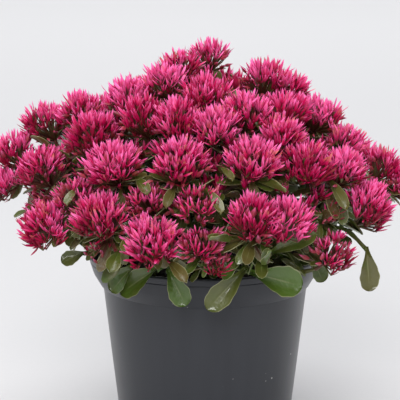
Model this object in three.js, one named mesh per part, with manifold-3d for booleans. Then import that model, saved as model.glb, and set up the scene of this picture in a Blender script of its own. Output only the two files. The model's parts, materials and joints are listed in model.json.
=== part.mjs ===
// Potted two-row stonecrop: leafy stems under a mound of starry flower heads, in a round
// nursery pot. Millimetres, +Z up, with the middle of the pot's base at the origin.

import * as THREE from 'three';
import { mergeVertices } from 'three/addons/utils/BufferGeometryUtils.js';
import Module from 'manifold-3d';

const wasm = await Module();
wasm.setup();

const { Vector3, Quaternion } = THREE;
const UP = new Vector3(0, 0, 1);

// Pot, outside sizes
const POT_HEIGHT = 113;
const RIM_RADIUS = 65;
const COLLAR_RADIUS = 61.7;
const COLLAR_DEPTH = 11.4;
const SHOULDER_RADIUS = 57;
const SHOULDER_DEPTH = 18.2;
const BASE_RADIUS = 45.9;
const FOOT_INNER_RADIUS = 39;
const PAD_RADIUS = 18;
const FOOT_LIFT = 2.2;
const POT_WALL = 1.3;
const POT_SIDES = 32;
const EDGE_ROUND = 0.8;
const DRAIN_COUNT = 6;
const DRAIN_RADIUS = 3.5;
const DRAIN_CIRCLE = 28.5;

// Soil
const SOIL_TOP = 103;
const SOIL_BUMP = 1.6;
const SOIL_WAVES = { x: 0.31, y: 0.27, shift: 1 };
const SOIL_RINGS = [0.93, 0.5];
const SEAT_GAP = 0.3;

// Stems
const TRUNK_RADIUS = 2;
const TRUNK_SIDES = 6;
const TRUNK_DEPTH = 14;
const TRUNK_RISE = 5;
const STEM_SIDES = 3;
const STEM_STEPS = 4;
const STEM_THICK = 1.3;
const STEM_THIN = 1.2;
const STEM_SPREAD = 1.4;
const STEM_SINK = 2;
const STEM_TRIES = 120;
const FREE_TRIES = 30;
const LOW_SWAY = 18;
const HIGH_SWAY = 14;
const LEAST_LIFT = -0.4;
const RISE_SHARE = { least: 0.35, spare: 0.2 };
const ARRIVE_SHARE = { most: 0.4, spare: 0.25 };
const INNER_TRUNKS = 4;
const INNER_TRUNK_CIRCLE = 14;
const OUTER_TRUNKS = 8;
const OUTER_TRUNK_CIRCLE = 40;
const INNER_REACH = 58;
const TRUNK_CHOICE = 3;

// Mound of flower heads: the surface on which the middles of the heads lie
const MOUND_RADIUS = 104;
const MOUND_MIDDLE = 128;
const MOUND_RISE = 89;
const MOUND_SAG = 50;
const MOUND_POWER = 1.75;

// Far side of the mound: it narrows like a cone above its widest level and tucks in below it
const FAR_WIDEST = 144;
const FAR_TOP = 208;
const FAR_UNDERSIDE = 108;
const FAR_POWER_ABOVE = 1.25;
const FAR_POWER_BELOW = 2;
const LOWEST_HEAD = 126;

// Flower heads
const LOBE_COUNT = 66;
const HEAD_COUNT = 46;
const LARGE_LOBE = 15.5;
const PLACES_DRAWN = 240;
const FAR_SIDE = 0;
const FAR_LOBE_LEAST = 17;
const FAR_LOBE_MOST = 20;
const TIP_LEAST = 0.9;
const TIP_MOST = 1.04;
const CORE = 0.6;
const EYE = 0.36;
const UNDERSIDE = 0.65;
const LOWEST_PETAL = -0.1;
const LOWEST_FACE = -0.9;
const TOUCHING_FACES = 1.2;
const HEAD_GAP = 0.5;
const AXIS_LIFT = 0.75;
const STALK_LENGTH = 6;
const STALK_ROOT = 0.5;
const SIDE_JOINT = 0.6;

// Leaves, with a blade's outline, droop and cup as shares of its length or width
const LEAF_THICKNESS = 1.5;
const SPOON = { skew: 1.45, fullness: 0.85, foot: 0.14 };
const SCALLOP = 0.86;
const SCALLOPS_FROM = 0.5;
const RIB_SHIFT = { foot: 0.8, tip: 0.3 };
const STEM_LEAF = { stations: 4, droop: 0.12, cup: 0.05 };
const RIM_LEAF = { stations: 8, droop: 0.06, cup: 0.06 };
const RIM_LEAF_LIFT = 0.5;
const LEAF_LEAN = [0.25, 0.6];
const LEAF_PLACE = [0.74, 0.84];
const LEAF_OFFSET = 0.2;
const SIDE_LIFT = 0.01;
const LEAF_SINK = 1.6;
const LEAF_LONGEST = 21;
const LEAF_SHORTEST = 9;
const LEAF_STEP = 3.5;
const LEAF_NARROWNESS = 0.5;
const MOST_LEAVES = 10;
const MOST_PUSH = 14;
const CLEARANCE = 0.25;
const TRIM = 0.06;

// The view from in front, from which the near side of the mound is laid out
const VIEW_TILT = THREE.MathUtils.degToRad(12);
const VIEW_DISTANCE = 950;
const VIEW_FROM = -20;
const VIEW_PAST_MOUND = 6;

// Near heads: across and above the middle of the rim as seen in that view, radius out to the
// petal tips, and how far the head sits inside the mound
const NEAR_LOBES = [
  [-14, 97, 15, 0], [2, 103, 14, 0], [-22, 89, 16, 0], [33, 91, 17, 0], [44, 86, 15.5, 0],
  [-42, 81, 17, 0], [-67, 74, 17, 0], [-86, 67, 17, 0],
  [-61, 61, 19, 0], [-33, 71, 18, 0], [0, 83, 17, 0], [22, 73, 18, 0], [43, 74, 17, 0],
  [62, 72, 15.5, 0], [76, 58, 16, 0],
  [-103, 52, 17, 0], [-89, 43, 18, 0], [-50, 46, 20, 0], [-14, 69, 18, 0],
  [5, 66, 17, 0], [40, 61, 17, 0], [-14, 48, 20, 0], [25, 49, 20, 0], [54, 46, 19, 0],
  [75, 43, 17, 0], [97, 43, 15.5, 0],
  [-107, 33, 18, 0], [-57, 18, 19, 0], [-75, 30, 16, 5], [-34, 31, 16, 9], [-6, 26, 18, 5],
  [26, 17, 20, 0], [44, 16, 18, 0], [88, 25, 19, 0], [108, 31, 16, 0],
  [-87, 12, 19, 0], [-60, 3, 14, 6], [-30, 5, 20, 0], [-3, 5, 15, 4],
  [6, -8, 11, 8], [73, -3, 16, 4],
];

// Large leaves at the rim: foot and tip as seen in that view, how far in front of the pot's
// axis each lies, and the width
const RIM_LEAVES = [
  { foot: [-21, -8, 69], tip: [-11, -29, 77], width: 12 },
  { foot: [23, -7, 71], tip: [1, -31, 79], width: 13 },
  { foot: [24, -10, 70], tip: [54, -18, 70], width: 17 },
  { foot: [-25, -7, 68], tip: [-48, -22, 66], width: 14 },
  { foot: [-39, -6, 60], tip: [-53, -21, 61], width: 12 },
  { foot: [89, 3, 35], tip: [92, -22, 40], width: 12 },
  { foot: [-66, 0, 50], tip: [-80, -5, 54], width: 9 },
  { foot: [33, 0, 82], tip: [61, 12, 90], width: 9 },
  { foot: [-18, -1, 72], tip: [-10, -13, 78], width: 8 },
  { foot: [58, -2, 52], tip: [66, -16, 56], width: 10 },
];

// Seeded draws, the same on every run
function seededDraws(seed) {
  let state = seed;
  return () => {
    state = (state + 0x6d2b79f5) | 0;
    let mixed = Math.imul(state ^ (state >>> 15), 1 | state);
    mixed = (mixed + Math.imul(mixed ^ (mixed >>> 7), 61 | mixed)) ^ mixed;
    return ((mixed ^ (mixed >>> 14)) >>> 0) / 4294967296;
  };
}

const draw = seededDraws(20);
const between = (low, high) => low + (high - low) * draw();

// A closed solid from points and triangles
function solid(points, triangles) {
  const vertProperties = new Float32Array(points.flatMap((point) => point.toArray()));
  const triVerts = new Uint32Array(triangles.flat());
  return new wasm.Manifold(new wasm.Mesh({ numProp: 3, vertProperties, triVerts }));
}

// A closed solid from a three.js geometry, without the flat triangles at its poles
function solidFrom(geometry) {
  geometry.deleteAttribute('normal');
  geometry.deleteAttribute('uv');
  const merged = mergeVertices(geometry, 1e-4);
  const position = merged.getAttribute('position');
  const points = [];
  for (let i = 0; i < position.count; i += 1) {
    points.push(new Vector3().fromBufferAttribute(position, i));
  }
  const triangles = [];
  const index = merged.getIndex().array;
  for (let i = 0; i < index.length; i += 3) {
    const [a, b, c] = index.slice(i, i + 3);
    if (a !== b && b !== c && c !== a) triangles.push([a, b, c]);
  }
  return solid(points, triangles);
}

function union(parts) {
  return wasm.Manifold.union(parts);
}

// The largest piece of a fused solid, so that no loose scrap stays with it
function largestPiece(fused) {
  const pieces = fused.decompose();
  return pieces.reduce((best, piece) => (piece.volume() > best.volume() ? piece : best));
}

function boxesTouch(a, b, gap) {
  const first = a.boundingBox();
  const second = b.boundingBox();
  return [0, 1, 2].every((axis) => (
    first.min[axis] - gap < second.max[axis] && second.min[axis] - gap < first.max[axis]));
}

function isClear(piece, others) {
  return others.every((other) => (
    !boxesTouch(piece, other, CLEARANCE) || piece.minGap(other, 2 * CLEARANCE) >= CLEARANCE));
}

function upright(radius, height, sides, x, y, bottom) {
  const geometry = new THREE.CylinderGeometry(radius, radius, height, sides);
  geometry.rotateX(Math.PI / 2);
  geometry.translate(x, y, bottom + height / 2);
  return solidFrom(geometry);
}

function turned(profile) {
  const geometry = new THREE.LatheGeometry(profile.map(([r, z]) => new THREE.Vector2(r, z)), POT_SIDES);
  geometry.rotateX(Math.PI / 2);
  return geometry;
}

// Pot: a thin shell with a deep collar, a raised ring under its floor, and drain holes in it
function potSolid() {
  const shoulder = POT_HEIGHT - SHOULDER_DEPTH;
  const collar = POT_HEIGHT - COLLAR_DEPTH;
  const outside = [
    [0, 0],
    [PAD_RADIUS, 0],
    [PAD_RADIUS + FOOT_LIFT, FOOT_LIFT],
    [FOOT_INNER_RADIUS - FOOT_LIFT, FOOT_LIFT],
    [FOOT_INNER_RADIUS, 0],
    [BASE_RADIUS - EDGE_ROUND, 0],
    [BASE_RADIUS, EDGE_ROUND],
    [SHOULDER_RADIUS, shoulder],
    [COLLAR_RADIUS, collar],
    [RIM_RADIUS, POT_HEIGHT - EDGE_ROUND],
    [RIM_RADIUS - EDGE_ROUND / 2, POT_HEIGHT],
  ];
  const inside = [
    [0, POT_WALL],
    [PAD_RADIUS - EDGE_ROUND / 2, POT_WALL],
    [PAD_RADIUS + FOOT_LIFT - EDGE_ROUND / 2, FOOT_LIFT + POT_WALL],
    [FOOT_INNER_RADIUS - FOOT_LIFT + EDGE_ROUND / 2, FOOT_LIFT + POT_WALL],
    [FOOT_INNER_RADIUS + EDGE_ROUND / 2, POT_WALL],
    [BASE_RADIUS - POT_WALL, POT_WALL],
    [SHOULDER_RADIUS - POT_WALL, shoulder - EDGE_ROUND],
    [COLLAR_RADIUS - POT_WALL, collar - EDGE_ROUND],
    [RIM_RADIUS - POT_WALL - EDGE_ROUND / 2, POT_HEIGHT],
  ];
  let pot = solidFrom(turned([...outside, ...inside.reverse()]));
  for (let n = 0; n < DRAIN_COUNT; n += 1) {
    const angle = (n + 0.5) * 2 * Math.PI / DRAIN_COUNT;
    const x = DRAIN_CIRCLE * Math.cos(angle);
    const y = DRAIN_CIRCLE * Math.sin(angle);
    pot = pot.subtract(upright(DRAIN_RADIUS, 4 * FOOT_LIFT, TRUNK_SIDES, x, y, -FOOT_LIFT));
  }
  return pot;
}

// Soil: fills the pot to just under its rim, with a plain hole for each trunk
function soilSolid(trunks) {
  const wallAt = (z) => THREE.MathUtils.mapLinear(
    z, POT_WALL, POT_HEIGHT - SHOULDER_DEPTH - EDGE_ROUND,
    BASE_RADIUS - POT_WALL, SHOULDER_RADIUS - POT_WALL) - SEAT_GAP;
  const shoulder = POT_HEIGHT - SHOULDER_DEPTH - EDGE_ROUND;
  const brim = wallAt(shoulder) + (COLLAR_RADIUS - SHOULDER_RADIUS) - EDGE_ROUND;
  const floor = FOOT_LIFT + POT_WALL + SEAT_GAP;
  const profile = [
    [0, floor],
    [wallAt(floor), floor],
    [wallAt(shoulder), shoulder],
    [brim, SOIL_TOP - 2 * SOIL_BUMP],
    ...SOIL_RINGS.map((share) => [brim * share, SOIL_TOP]),
    [0, SOIL_TOP],
  ];
  const geometry = turned(profile);
  const position = geometry.getAttribute('position');
  for (let i = 0; i < position.count; i += 1) {
    const x = position.getX(i);
    const y = position.getY(i);
    const wave = Math.sin(x * SOIL_WAVES.x + SOIL_WAVES.shift) * Math.cos(y * SOIL_WAVES.y);
    if (position.getZ(i) > SOIL_TOP - SOIL_BUMP) position.setZ(i, SOIL_TOP + SOIL_BUMP * wave);
  }
  const holes = trunks.map(({ x, y }) => (
    upright(TRUNK_RADIUS + SEAT_GAP, 2 * TRUNK_DEPTH, TRUNK_SIDES, x, y, SOIL_TOP - TRUNK_DEPTH)));
  return solidFrom(geometry).subtract(union(holes));
}

// How far a point lies outside the mound's surface, below zero inside
function outsideMound(point) {
  const across = Math.hypot(point.x, point.y) / MOUND_RADIUS;
  const drop = (point.z - MOUND_MIDDLE) / (point.z > MOUND_MIDDLE ? MOUND_RISE : MOUND_SAG);
  return across ** MOUND_POWER + Math.abs(drop) ** MOUND_POWER - 1;
}

function moundNormal(point) {
  const step = 0.5;
  const slope = (x, y, z) => outsideMound(point.clone().add(new Vector3(x, y, z)));
  return new Vector3(
    slope(step, 0, 0) - slope(-step, 0, 0),
    slope(0, step, 0) - slope(0, -step, 0),
    slope(0, 0, step) - slope(0, 0, -step),
  ).normalize();
}

// A point from its place in the front view and its distance in front of the pot's axis
function fromView(across, above, forward) {
  const nearer = 1 - forward / VIEW_DISTANCE;
  const rise = (above * nearer + forward * Math.sin(VIEW_TILT)) / Math.cos(VIEW_TILT);
  return new Vector3(across * nearer, -forward, POT_HEIGHT + rise);
}

// The nearest point of the mound that the front view sees at a place
function onMound(across, above) {
  let best = fromView(across, above, 0);
  let entered = false;
  for (let forward = VIEW_FROM; forward < MOUND_RADIUS + VIEW_PAST_MOUND; forward += 1) {
    const point = fromView(across, above, forward);
    const outside = outsideMound(point);
    if (outside < 0) entered = true;
    if (entered && outside > 0) return point;
    if (outside < outsideMound(best)) best = point;
  }
  return best;
}

function nearLobes() {
  return NEAR_LOBES.map(([across, above, radius, sunk]) => {
    const at = onMound(across, above);
    at.addScaledVector(moundNormal(at), -sunk);
    return { at, radius };
  });
}

// Room around a point: the distance to the closest lobe, less both radii
function roomAt(at, radius, lobes) {
  return Math.min(...lobes.map((lobe) => at.distanceTo(lobe.at) - radius - lobe.radius));
}

// The distance of the far side's heads from the pot's axis at a level
function farReach(z) {
  const above = z > FAR_WIDEST;
  const drop = (z - FAR_WIDEST) / ((above ? FAR_TOP : FAR_UNDERSIDE) - FAR_WIDEST);
  const power = above ? FAR_POWER_ABOVE : FAR_POWER_BELOW;
  return MOUND_RADIUS * (1 - drop ** power) ** (1 / power);
}

// The far side is filled one lobe at a time, each at the roomiest of many drawn places
function addFarLobes(lobes) {
  while (lobes.length < LOBE_COUNT) {
    const radius = between(FAR_LOBE_LEAST, FAR_LOBE_MOST);
    let best = null;
    for (let n = 0; n < PLACES_DRAWN; n += 1) {
      const z = between(LOWEST_HEAD, FAR_TOP);
      const out = farReach(z);
      const angle = between(0, 2 * Math.PI);
      const at = new Vector3(out * Math.cos(angle), out * Math.sin(angle), z);
      const room = roomAt(at, radius, lobes);
      if (at.y > FAR_SIDE && (!best || room > best.room)) best = { at, radius, room };
    }
    lobes.push({ at: best.at, radius });
  }
}

// Each lobe leans between the mound's own slope and straight up, and keeps to its side of the
// planes between it and the others, and clear of the pot
function settleLobes(lobes) {
  lobes.forEach((lobe) => {
    lobe.axis = moundNormal(lobe.at).addScaledVector(UP, AXIS_LIFT).normalize();
    const spin = new Quaternion().setFromAxisAngle(UP, between(0, 2 * Math.PI));
    lobe.turn = new Quaternion().setFromUnitVectors(UP, lobe.axis).multiply(spin);
    lobe.limits = lobes.filter((other) => other !== lobe).map((other) => {
      const normal = other.at.clone().sub(lobe.at);
      const apart = normal.length();
      const share = (apart ** 2 + lobe.radius ** 2 - other.radius ** 2) / (2 * apart);
      return { normal: normal.divideScalar(apart), reach: share - HEAD_GAP / 2 };
    });
    if (lobe.at.z - lobe.radius < POT_HEIGHT) {
      const outward = new Vector3(lobe.at.x, lobe.at.y, 0);
      const reach = outward.length() - RIM_RADIUS - 2 * HEAD_GAP;
      lobe.limits.push({ normal: outward.normalize().negate(), reach });
    }
  });
}

// The faces of a dodecahedron, one to a flower, each with its ring of five corners
function flowerCells() {
  const tilt = Math.atan(0.5);
  const facing = (turns, lift) => new Vector3(
    Math.cos(turns * 2 * Math.PI) * Math.cos(lift),
    Math.sin(turns * 2 * Math.PI) * Math.cos(lift),
    Math.sin(lift));
  const faces = [UP.clone()];
  for (let n = 0; n < 5; n += 1) faces.push(facing(n / 5, tilt), facing((n + 0.5) / 5, -tilt));
  faces.push(UP.clone().negate());

  const corners = [];
  const touch = (i, j) => faces[i].distanceTo(faces[j]) < TOUCHING_FACES;
  for (let i = 0; i < 12; i += 1) {
    for (let j = i + 1; j < 12; j += 1) {
      for (let k = j + 1; k < 12; k += 1) {
        if (touch(i, j) && touch(j, k) && touch(i, k)) {
          const at = faces[i].clone().add(faces[j]).add(faces[k]).normalize();
          corners.push({ at, between: [i, j, k] });
        }
      }
    }
  }
  const cells = faces.map((face, i) => {
    const side = new Vector3(face.z, face.x, face.y).cross(face).normalize();
    const ahead = face.clone().cross(side);
    const angle = ({ at }) => Math.atan2(at.dot(ahead), at.dot(side));
    const ring = corners.filter((corner) => corner.between.includes(i));
    ring.sort((a, b) => angle(a) - angle(b));
    return { face, ring: ring.map((corner) => corners.indexOf(corner)) };
  });
  return { corners, cells };
}

const DODECAHEDRON = flowerCells();

// A lobe of a flower head: five-petalled stars side by side over a smaller core. Each petal is
// a spike raised from a fifth of its flower, whose middle is sunk. The lowest face of the core
// is drawn down to the end of the lobe's stalk
function lobeSolid(lobe, stalkEnd, stalkAxis) {
  const points = [];
  const triangles = [];
  const place = (direction, reach) => {
    const local = direction.clone().setLength(reach * lobe.radius);
    if (local.z < 0) local.z *= UNDERSIDE;
    local.applyQuaternion(lobe.turn);
    lobe.limits.forEach(({ normal, reach: limit }) => {
      const out = local.dot(normal);
      if (out > limit) local.multiplyScalar(limit / out);
    });
    points.push(local.add(lobe.at));
    return points.length - 1;
  };
  const lowest = lobe.radius > LARGE_LOBE ? LOWEST_PETAL : -LOWEST_PETAL;
  const rims = DODECAHEDRON.corners.map(({ at }) => place(at, CORE));
  DODECAHEDRON.cells.forEach(({ face, ring }) => {
    if (face.z < LOWEST_FACE) {
      const cut = ring.map((corner) => {
        const out = points[rims[corner]].clone().sub(lobe.at).projectOnPlane(stalkAxis);
        return points.push(stalkEnd.clone().add(out.setLength(STEM_THIN))) - 1;
      });
      ring.forEach((from, n) => {
        const to = (n + 1) % ring.length;
        triangles.push([rims[from], rims[ring[to]], cut[to]], [rims[from], cut[to], cut[n]]);
      });
      for (let n = 1; n < cut.length - 1; n += 1) triangles.push([cut[0], cut[n], cut[n + 1]]);
      return;
    }
    const eye = place(face, EYE);
    ring.forEach((from, n) => {
      const to = ring[(n + 1) % ring.length];
      const edge = DODECAHEDRON.corners[from].at.clone().add(DODECAHEDRON.corners[to].at);
      const lean = edge.add(face).normalize();
      if (lean.z < lowest) {
        triangles.push([eye, rims[from], rims[to]]);
      } else {
        const tip = place(lean, between(TIP_LEAST, TIP_MOST));
        triangles.push([eye, rims[from], tip], [rims[from], rims[to], tip], [rims[to], eye, tip]);
      }
    });
  });
  return solid(points, triangles);
}

// A tapering stem along a curve, with flat sides and closed ends
function stemSolid(curve, steps, thick, thin) {
  const frames = curve.computeFrenetFrames(steps, false);
  const points = [];
  const triangles = [];
  for (let step = 0; step <= steps; step += 1) {
    const middle = curve.getPointAt(step / steps);
    const radius = THREE.MathUtils.lerp(thick, thin, step / steps);
    for (let side = 0; side < STEM_SIDES; side += 1) {
      const angle = side * 2 * Math.PI / STEM_SIDES;
      points.push(middle.clone()
        .addScaledVector(frames.normals[step], radius * Math.cos(angle))
        .addScaledVector(frames.binormals[step], radius * Math.sin(angle)));
    }
  }
  for (let step = 0; step < steps; step += 1) {
    for (let side = 0; side < STEM_SIDES; side += 1) {
      const a = step * STEM_SIDES + side;
      const b = step * STEM_SIDES + (side + 1) % STEM_SIDES;
      triangles.push([a, b, b + STEM_SIDES], [a, b + STEM_SIDES, a + STEM_SIDES]);
    }
  }
  const last = steps * STEM_SIDES;
  for (let side = 1; side < STEM_SIDES - 1; side += 1) {
    triangles.push([0, side + 1, side], [last, last + side, last + side + 1]);
  }
  return solid(points, triangles);
}

// Neighbouring lobes are paired, closest first, until the heads number HEAD_COUNT
function groupLobes(lobes) {
  const pairs = [];
  lobes.forEach((a, i) => lobes.slice(i + 1).forEach((b) => {
    pairs.push({ a, b, apart: a.at.distanceTo(b.at) / (a.radius + b.radius) });
  }));
  pairs.sort((p, q) => p.apart - q.apart);
  const taken = new Set();
  const heads = [];
  pairs.forEach(({ a, b }) => {
    if (heads.length < lobes.length - HEAD_COUNT && !taken.has(a) && !taken.has(b)) {
      taken.add(a).add(b);
      heads.push([a, b]);
    }
  });
  lobes.filter((lobe) => !taken.has(lobe)).forEach((lobe) => heads.push([lobe]));
  return heads;
}

// A head: one lobe on a stalk with a cut foot, and where it has a second, that one's stalk runs
// into the first
function makeHead([main, side]) {
  const down = STALK_ROOT * main.radius + STALK_LENGTH;
  const foot = main.at.clone().addScaledVector(main.axis, -down);
  const parts = [lobeSolid(main, foot, main.axis)];
  if (side) {
    const joint = foot.clone().addScaledVector(main.axis, SIDE_JOINT * STALK_LENGTH);
    const lean = side.at.clone().sub(joint).normalize();
    parts.push(lobeSolid(side, joint, lean));
  }
  const fused = side ? largestPiece(union(parts).simplify(TRIM)) : parts[0];
  return { solid: fused, foot, axis: main.axis, lobes: side ? [main, side] : [main] };
}

// Trunks: an inner ring for the top of the mound and an outer ring for its sides
function placeTrunks() {
  const ring = (count, radius, part) => Array.from({ length: count }, (_, n) => {
    const angle = (n + part) * 2 * Math.PI / count;
    return { x: radius * Math.cos(angle), y: radius * Math.sin(angle), stems: [], leaves: [] };
  });
  return {
    inner: ring(INNER_TRUNKS, INNER_TRUNK_CIRCLE, 0.5),
    outer: ring(OUTER_TRUNKS, OUTER_TRUNK_CIRCLE, 0),
  };
}

// The trunks whose bearing is nearest to a point's, nearest first
function nearestTrunks(trunks, point) {
  const turn = (trunk) => Math.abs(Math.atan2(
    trunk.x * point.y - trunk.y * point.x, trunk.x * point.x + trunk.y * point.y));
  return [...trunks].sort((a, b) => turn(a) - turn(b)).slice(0, TRUNK_CHOICE);
}

// A stem from its trunk to an end, bent by seeded draws until it clears all it passes: it
// leaves the trunk upwards and arrives along the axis of what it carries
function bendStem(trunk, end, axis, obstacles) {
  const start = new Vector3(trunk.x, trunk.y, SOIL_TOP + TRUNK_RISE - STEM_SINK);
  const toEnd = end.clone().sub(start);
  const span = toEnd.length();
  start.addScaledVector(toEnd.setZ(0), STEM_SPREAD / span);
  let stem = null;
  for (let attempt = 0; attempt < STEM_TRIES; attempt += 1) {
    const loose = Math.min(1, attempt / FREE_TRIES);
    const sway = () => new Vector3(between(-1, 1), between(-1, 1), between(LEAST_LIFT, 1));
    const up = RISE_SHARE.least + RISE_SHARE.spare * loose * draw();
    const rise = start.clone().addScaledVector(UP, span * up);
    rise.addScaledVector(sway(), LOW_SWAY * loose);
    const back = ARRIVE_SHARE.most - ARRIVE_SHARE.spare * loose * draw();
    const arrive = end.clone().addScaledVector(axis, -span * back);
    arrive.addScaledVector(sway(), HIGH_SWAY * loose);
    const curve = new THREE.CubicBezierCurve3(start, rise, arrive, end);
    stem = { curve, solid: stemSolid(curve, STEM_STEPS, STEM_THICK, STEM_THIN) };
    if (isClear(stem.solid, obstacles)) return stem;
  }
  return { ...stem, blocked: true };
}

// Half width of a spoon-shaped blade along its length, from foot to tip, with scallops
function bladeHalfWidth(along, notched) {
  const bowl = Math.sin(Math.PI * along ** SPOON.skew) ** SPOON.fullness;
  return 0.5 * (bowl + SPOON.foot * (1 - along)) * (notched ? SCALLOP : 1);
}

// A fleshy leaf: two faces on one scalloped outline, thickest along the midrib
function leafSolid({ foot, along, face, length, width, stations, droop, cup }) {
  const side = along.clone().cross(face).normalize();
  const normal = side.clone().cross(along).normalize();
  const points = [];
  const triangles = [];
  const place = (s, across, lift) => {
    const bend = cup * (2 * across / width) ** 2 * width - droop * s * s * length;
    points.push(foot.clone()
      .addScaledVector(along, s * length)
      .addScaledVector(side, across)
      .addScaledVector(normal, bend + lift));
    return points.length - 1;
  };
  const edge = (sign) => Array.from({ length: stations }, (_, k) => {
    const s = k / stations;
    const notched = k % 2 === 1 && s > SCALLOPS_FROM;
    return { s, id: place(s, sign * width * bladeHalfWidth(s, notched), 0) };
  });
  const tip = { s: 1, id: place(1, 0, 0) };
  const edges = [edge(-1), edge(1)].map((points) => [...points, tip]);
  const ribCount = Math.max(2, Math.floor(stations / 2) - 1);
  [1, -1].forEach((facing) => {
    const rib = Array.from({ length: ribCount }, (_, k) => {
      const s = (k + RIB_SHIFT.foot) / (ribCount + RIB_SHIFT.tip);
      return { s, id: place(s, 0, facing * LEAF_THICKNESS / 2) };
    });
    rib.push(tip);
    const push = (a, b, c) => triangles.push(facing > 0 ? [a.id, b.id, c.id] : [a.id, c.id, b.id]);
    push(edges[0][0], edges[1][0], rib[0]);
    edges.forEach((outline, right) => {
      let i = 0;
      let j = 0;
      while (i < outline.length - 1 || j < rib.length - 1) {
        const ribLeft = j < rib.length - 1;
        const edgeLeft = i < outline.length - 1;
        const onEdge = !ribLeft || (edgeLeft && outline[i + 1].s <= rib[j + 1].s);
        const next = onEdge ? outline[i + 1] : rib[j + 1];
        if (next !== outline[i] && next !== rib[j]) {
          if (right) push(outline[i], next, rib[j]);
          else push(rib[j], next, outline[i]);
        }
        if (onEdge) i += 1;
        else j += 1;
      }
    });
  });
  return solid(points, triangles);
}

// A pair of opposite leaves on a stem, each as long as the room around it allows
function addLeafPair(trunk, stem, t, turn, obstacles) {
  const at = stem.curve.getPointAt(t);
  const tangent = stem.curve.getTangentAt(t);
  const side = new Vector3(-tangent.y, tangent.x, SIDE_LIFT).normalize();
  side.applyAxisAngle(tangent, turn);
  [1, -1].forEach((sign) => {
    const along = side.clone().multiplyScalar(sign);
    along.addScaledVector(tangent, between(...LEAF_LEAN)).normalize();
    const longest = LEAF_LONGEST - LEAF_STEP * draw();
    for (let length = longest; length > LEAF_SHORTEST; length -= LEAF_STEP) {
      const leaf = leafSolid({
        foot: at.clone().addScaledVector(along, LEAF_OFFSET),
        along,
        face: tangent,
        length,
        width: LEAF_NARROWNESS * length,
        ...STEM_LEAF,
      });
      if (isClear(leaf, obstacles)) {
        trunk.leaves.push(leaf);
        return;
      }
    }
  });
}

// A large leaf over the rim, on a shoot of its own, pushed forward until it hangs clear
function addRimLeaf(trunks, { foot, tip, width }, obstacles) {
  for (let push = 0; push < MOST_PUSH; push += LEAF_SINK) {
    const from = fromView(foot[0], foot[1], foot[2] + push);
    const to = fromView(tip[0], tip[1], tip[2] + push);
    const [trunk] = nearestTrunks(trunks, from);
    const along = to.clone().sub(from);
    const length = along.length();
    along.normalize();
    const face = new Vector3(from.x, from.y, 0).normalize().addScaledVector(UP, RIM_LEAF_LIFT);
    const leaf = leafSolid({ foot: from, along, face, length, width, ...RIM_LEAF });
    const others = obstacles.filter((other) => other.trunk !== trunk).map((other) => other.solid);
    const end = from.clone().addScaledVector(along, LEAF_SINK);
    const shoot = bendStem(trunk, end, along, others);
    if (!shoot.blocked && isClear(leaf, others)) {
      trunk.leaves.push(leaf, shoot.solid);
      return;
    }
  }
}

function trunkSolid({ x, y }) {
  const bottom = SOIL_TOP - TRUNK_DEPTH + SEAT_GAP;
  return upright(TRUNK_RADIUS, TRUNK_DEPTH - SEAT_GAP + TRUNK_RISE, TRUNK_SIDES, x, y, bottom);
}

function buildPlant(pot, soil, heads, trunks) {
  const all = [...trunks.inner, ...trunks.outer];
  const fixed = [{ solid: pot }, { solid: soil }, ...heads];
  all.forEach((trunk) => {
    trunk.trunk = trunkSolid(trunk);
  });
  const otherTrunks = (trunk) => all.filter((other) => other !== trunk)
    .flatMap((other) => [other.trunk, ...other.stems.map((stem) => stem.solid), ...other.leaves]);

  heads.forEach((head) => {
    const inner = Math.hypot(head.foot.x, head.foot.y) < INNER_REACH;
    const end = head.foot.clone().addScaledVector(head.axis, -SEAT_GAP);
    const choices = nearestTrunks(inner ? trunks.inner : trunks.outer, head.foot).map((trunk) => {
      const obstacles = [...fixed.map((piece) => piece.solid), ...otherTrunks(trunk)];
      return { trunk, stem: bendStem(trunk, end, head.axis, obstacles) };
    });
    const { trunk, stem } = choices.find((choice) => !choice.stem.blocked) ?? choices[0];
    trunk.stems.push(stem);
  });
  RIM_LEAVES.forEach((rimLeaf) => {
    const pieces = all.flatMap((trunk) => [trunk.trunk, ...trunk.stems.map((stem) => stem.solid),
      ...trunk.leaves].map((piece) => ({ trunk, solid: piece })));
    addRimLeaf(trunks.outer, rimLeaf, [...fixed, ...pieces]);
  });
  trunks.outer.forEach((trunk) => {
    trunk.stems.forEach((stem) => {
      if (trunk.leaves.length >= MOST_LEAVES) return;
      const obstacles = [...fixed.map((piece) => piece.solid), ...otherTrunks(trunk)];
      addLeafPair(trunk, stem, between(...LEAF_PLACE), between(0, Math.PI), obstacles);
    });
  });
  return all.map((trunk) => largestPiece(
    union([trunk.trunk, ...trunk.stems.map((stem) => stem.solid), ...trunk.leaves]).simplify(TRIM)));
}

const MATERIALS = {
  pot: { color: 0x3b3d41, roughness: 0.5, metalness: 0 },
  soil: { color: 0x2a211b, roughness: 0.95, metalness: 0 },
  foliage: { color: 0x4f6b2c, roughness: 0.45, metalness: 0 },
  flowers: { color: 0xc81f64, roughness: 0.6, metalness: 0 },
};

function meshOf(name, piece, finish) {
  const { vertProperties, triVerts } = piece.getMesh();
  const geometry = new THREE.BufferGeometry();
  geometry.setAttribute('position', new THREE.BufferAttribute(vertProperties, 3));
  geometry.setIndex(new THREE.BufferAttribute(triVerts, 1));
  const mesh = new THREE.Mesh(geometry, new THREE.MeshStandardMaterial(MATERIALS[finish]));
  mesh.name = name;
  return mesh;
}

const lobes = nearLobes();
addFarLobes(lobes);
settleLobes(lobes);
const heads = groupLobes(lobes).map(makeHead);
const trunks = placeTrunks();
const pot = potSolid();
const soil = soilSolid([...trunks.inner, ...trunks.outer]);
const branches = buildPlant(pot, soil, heads, trunks);

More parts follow.
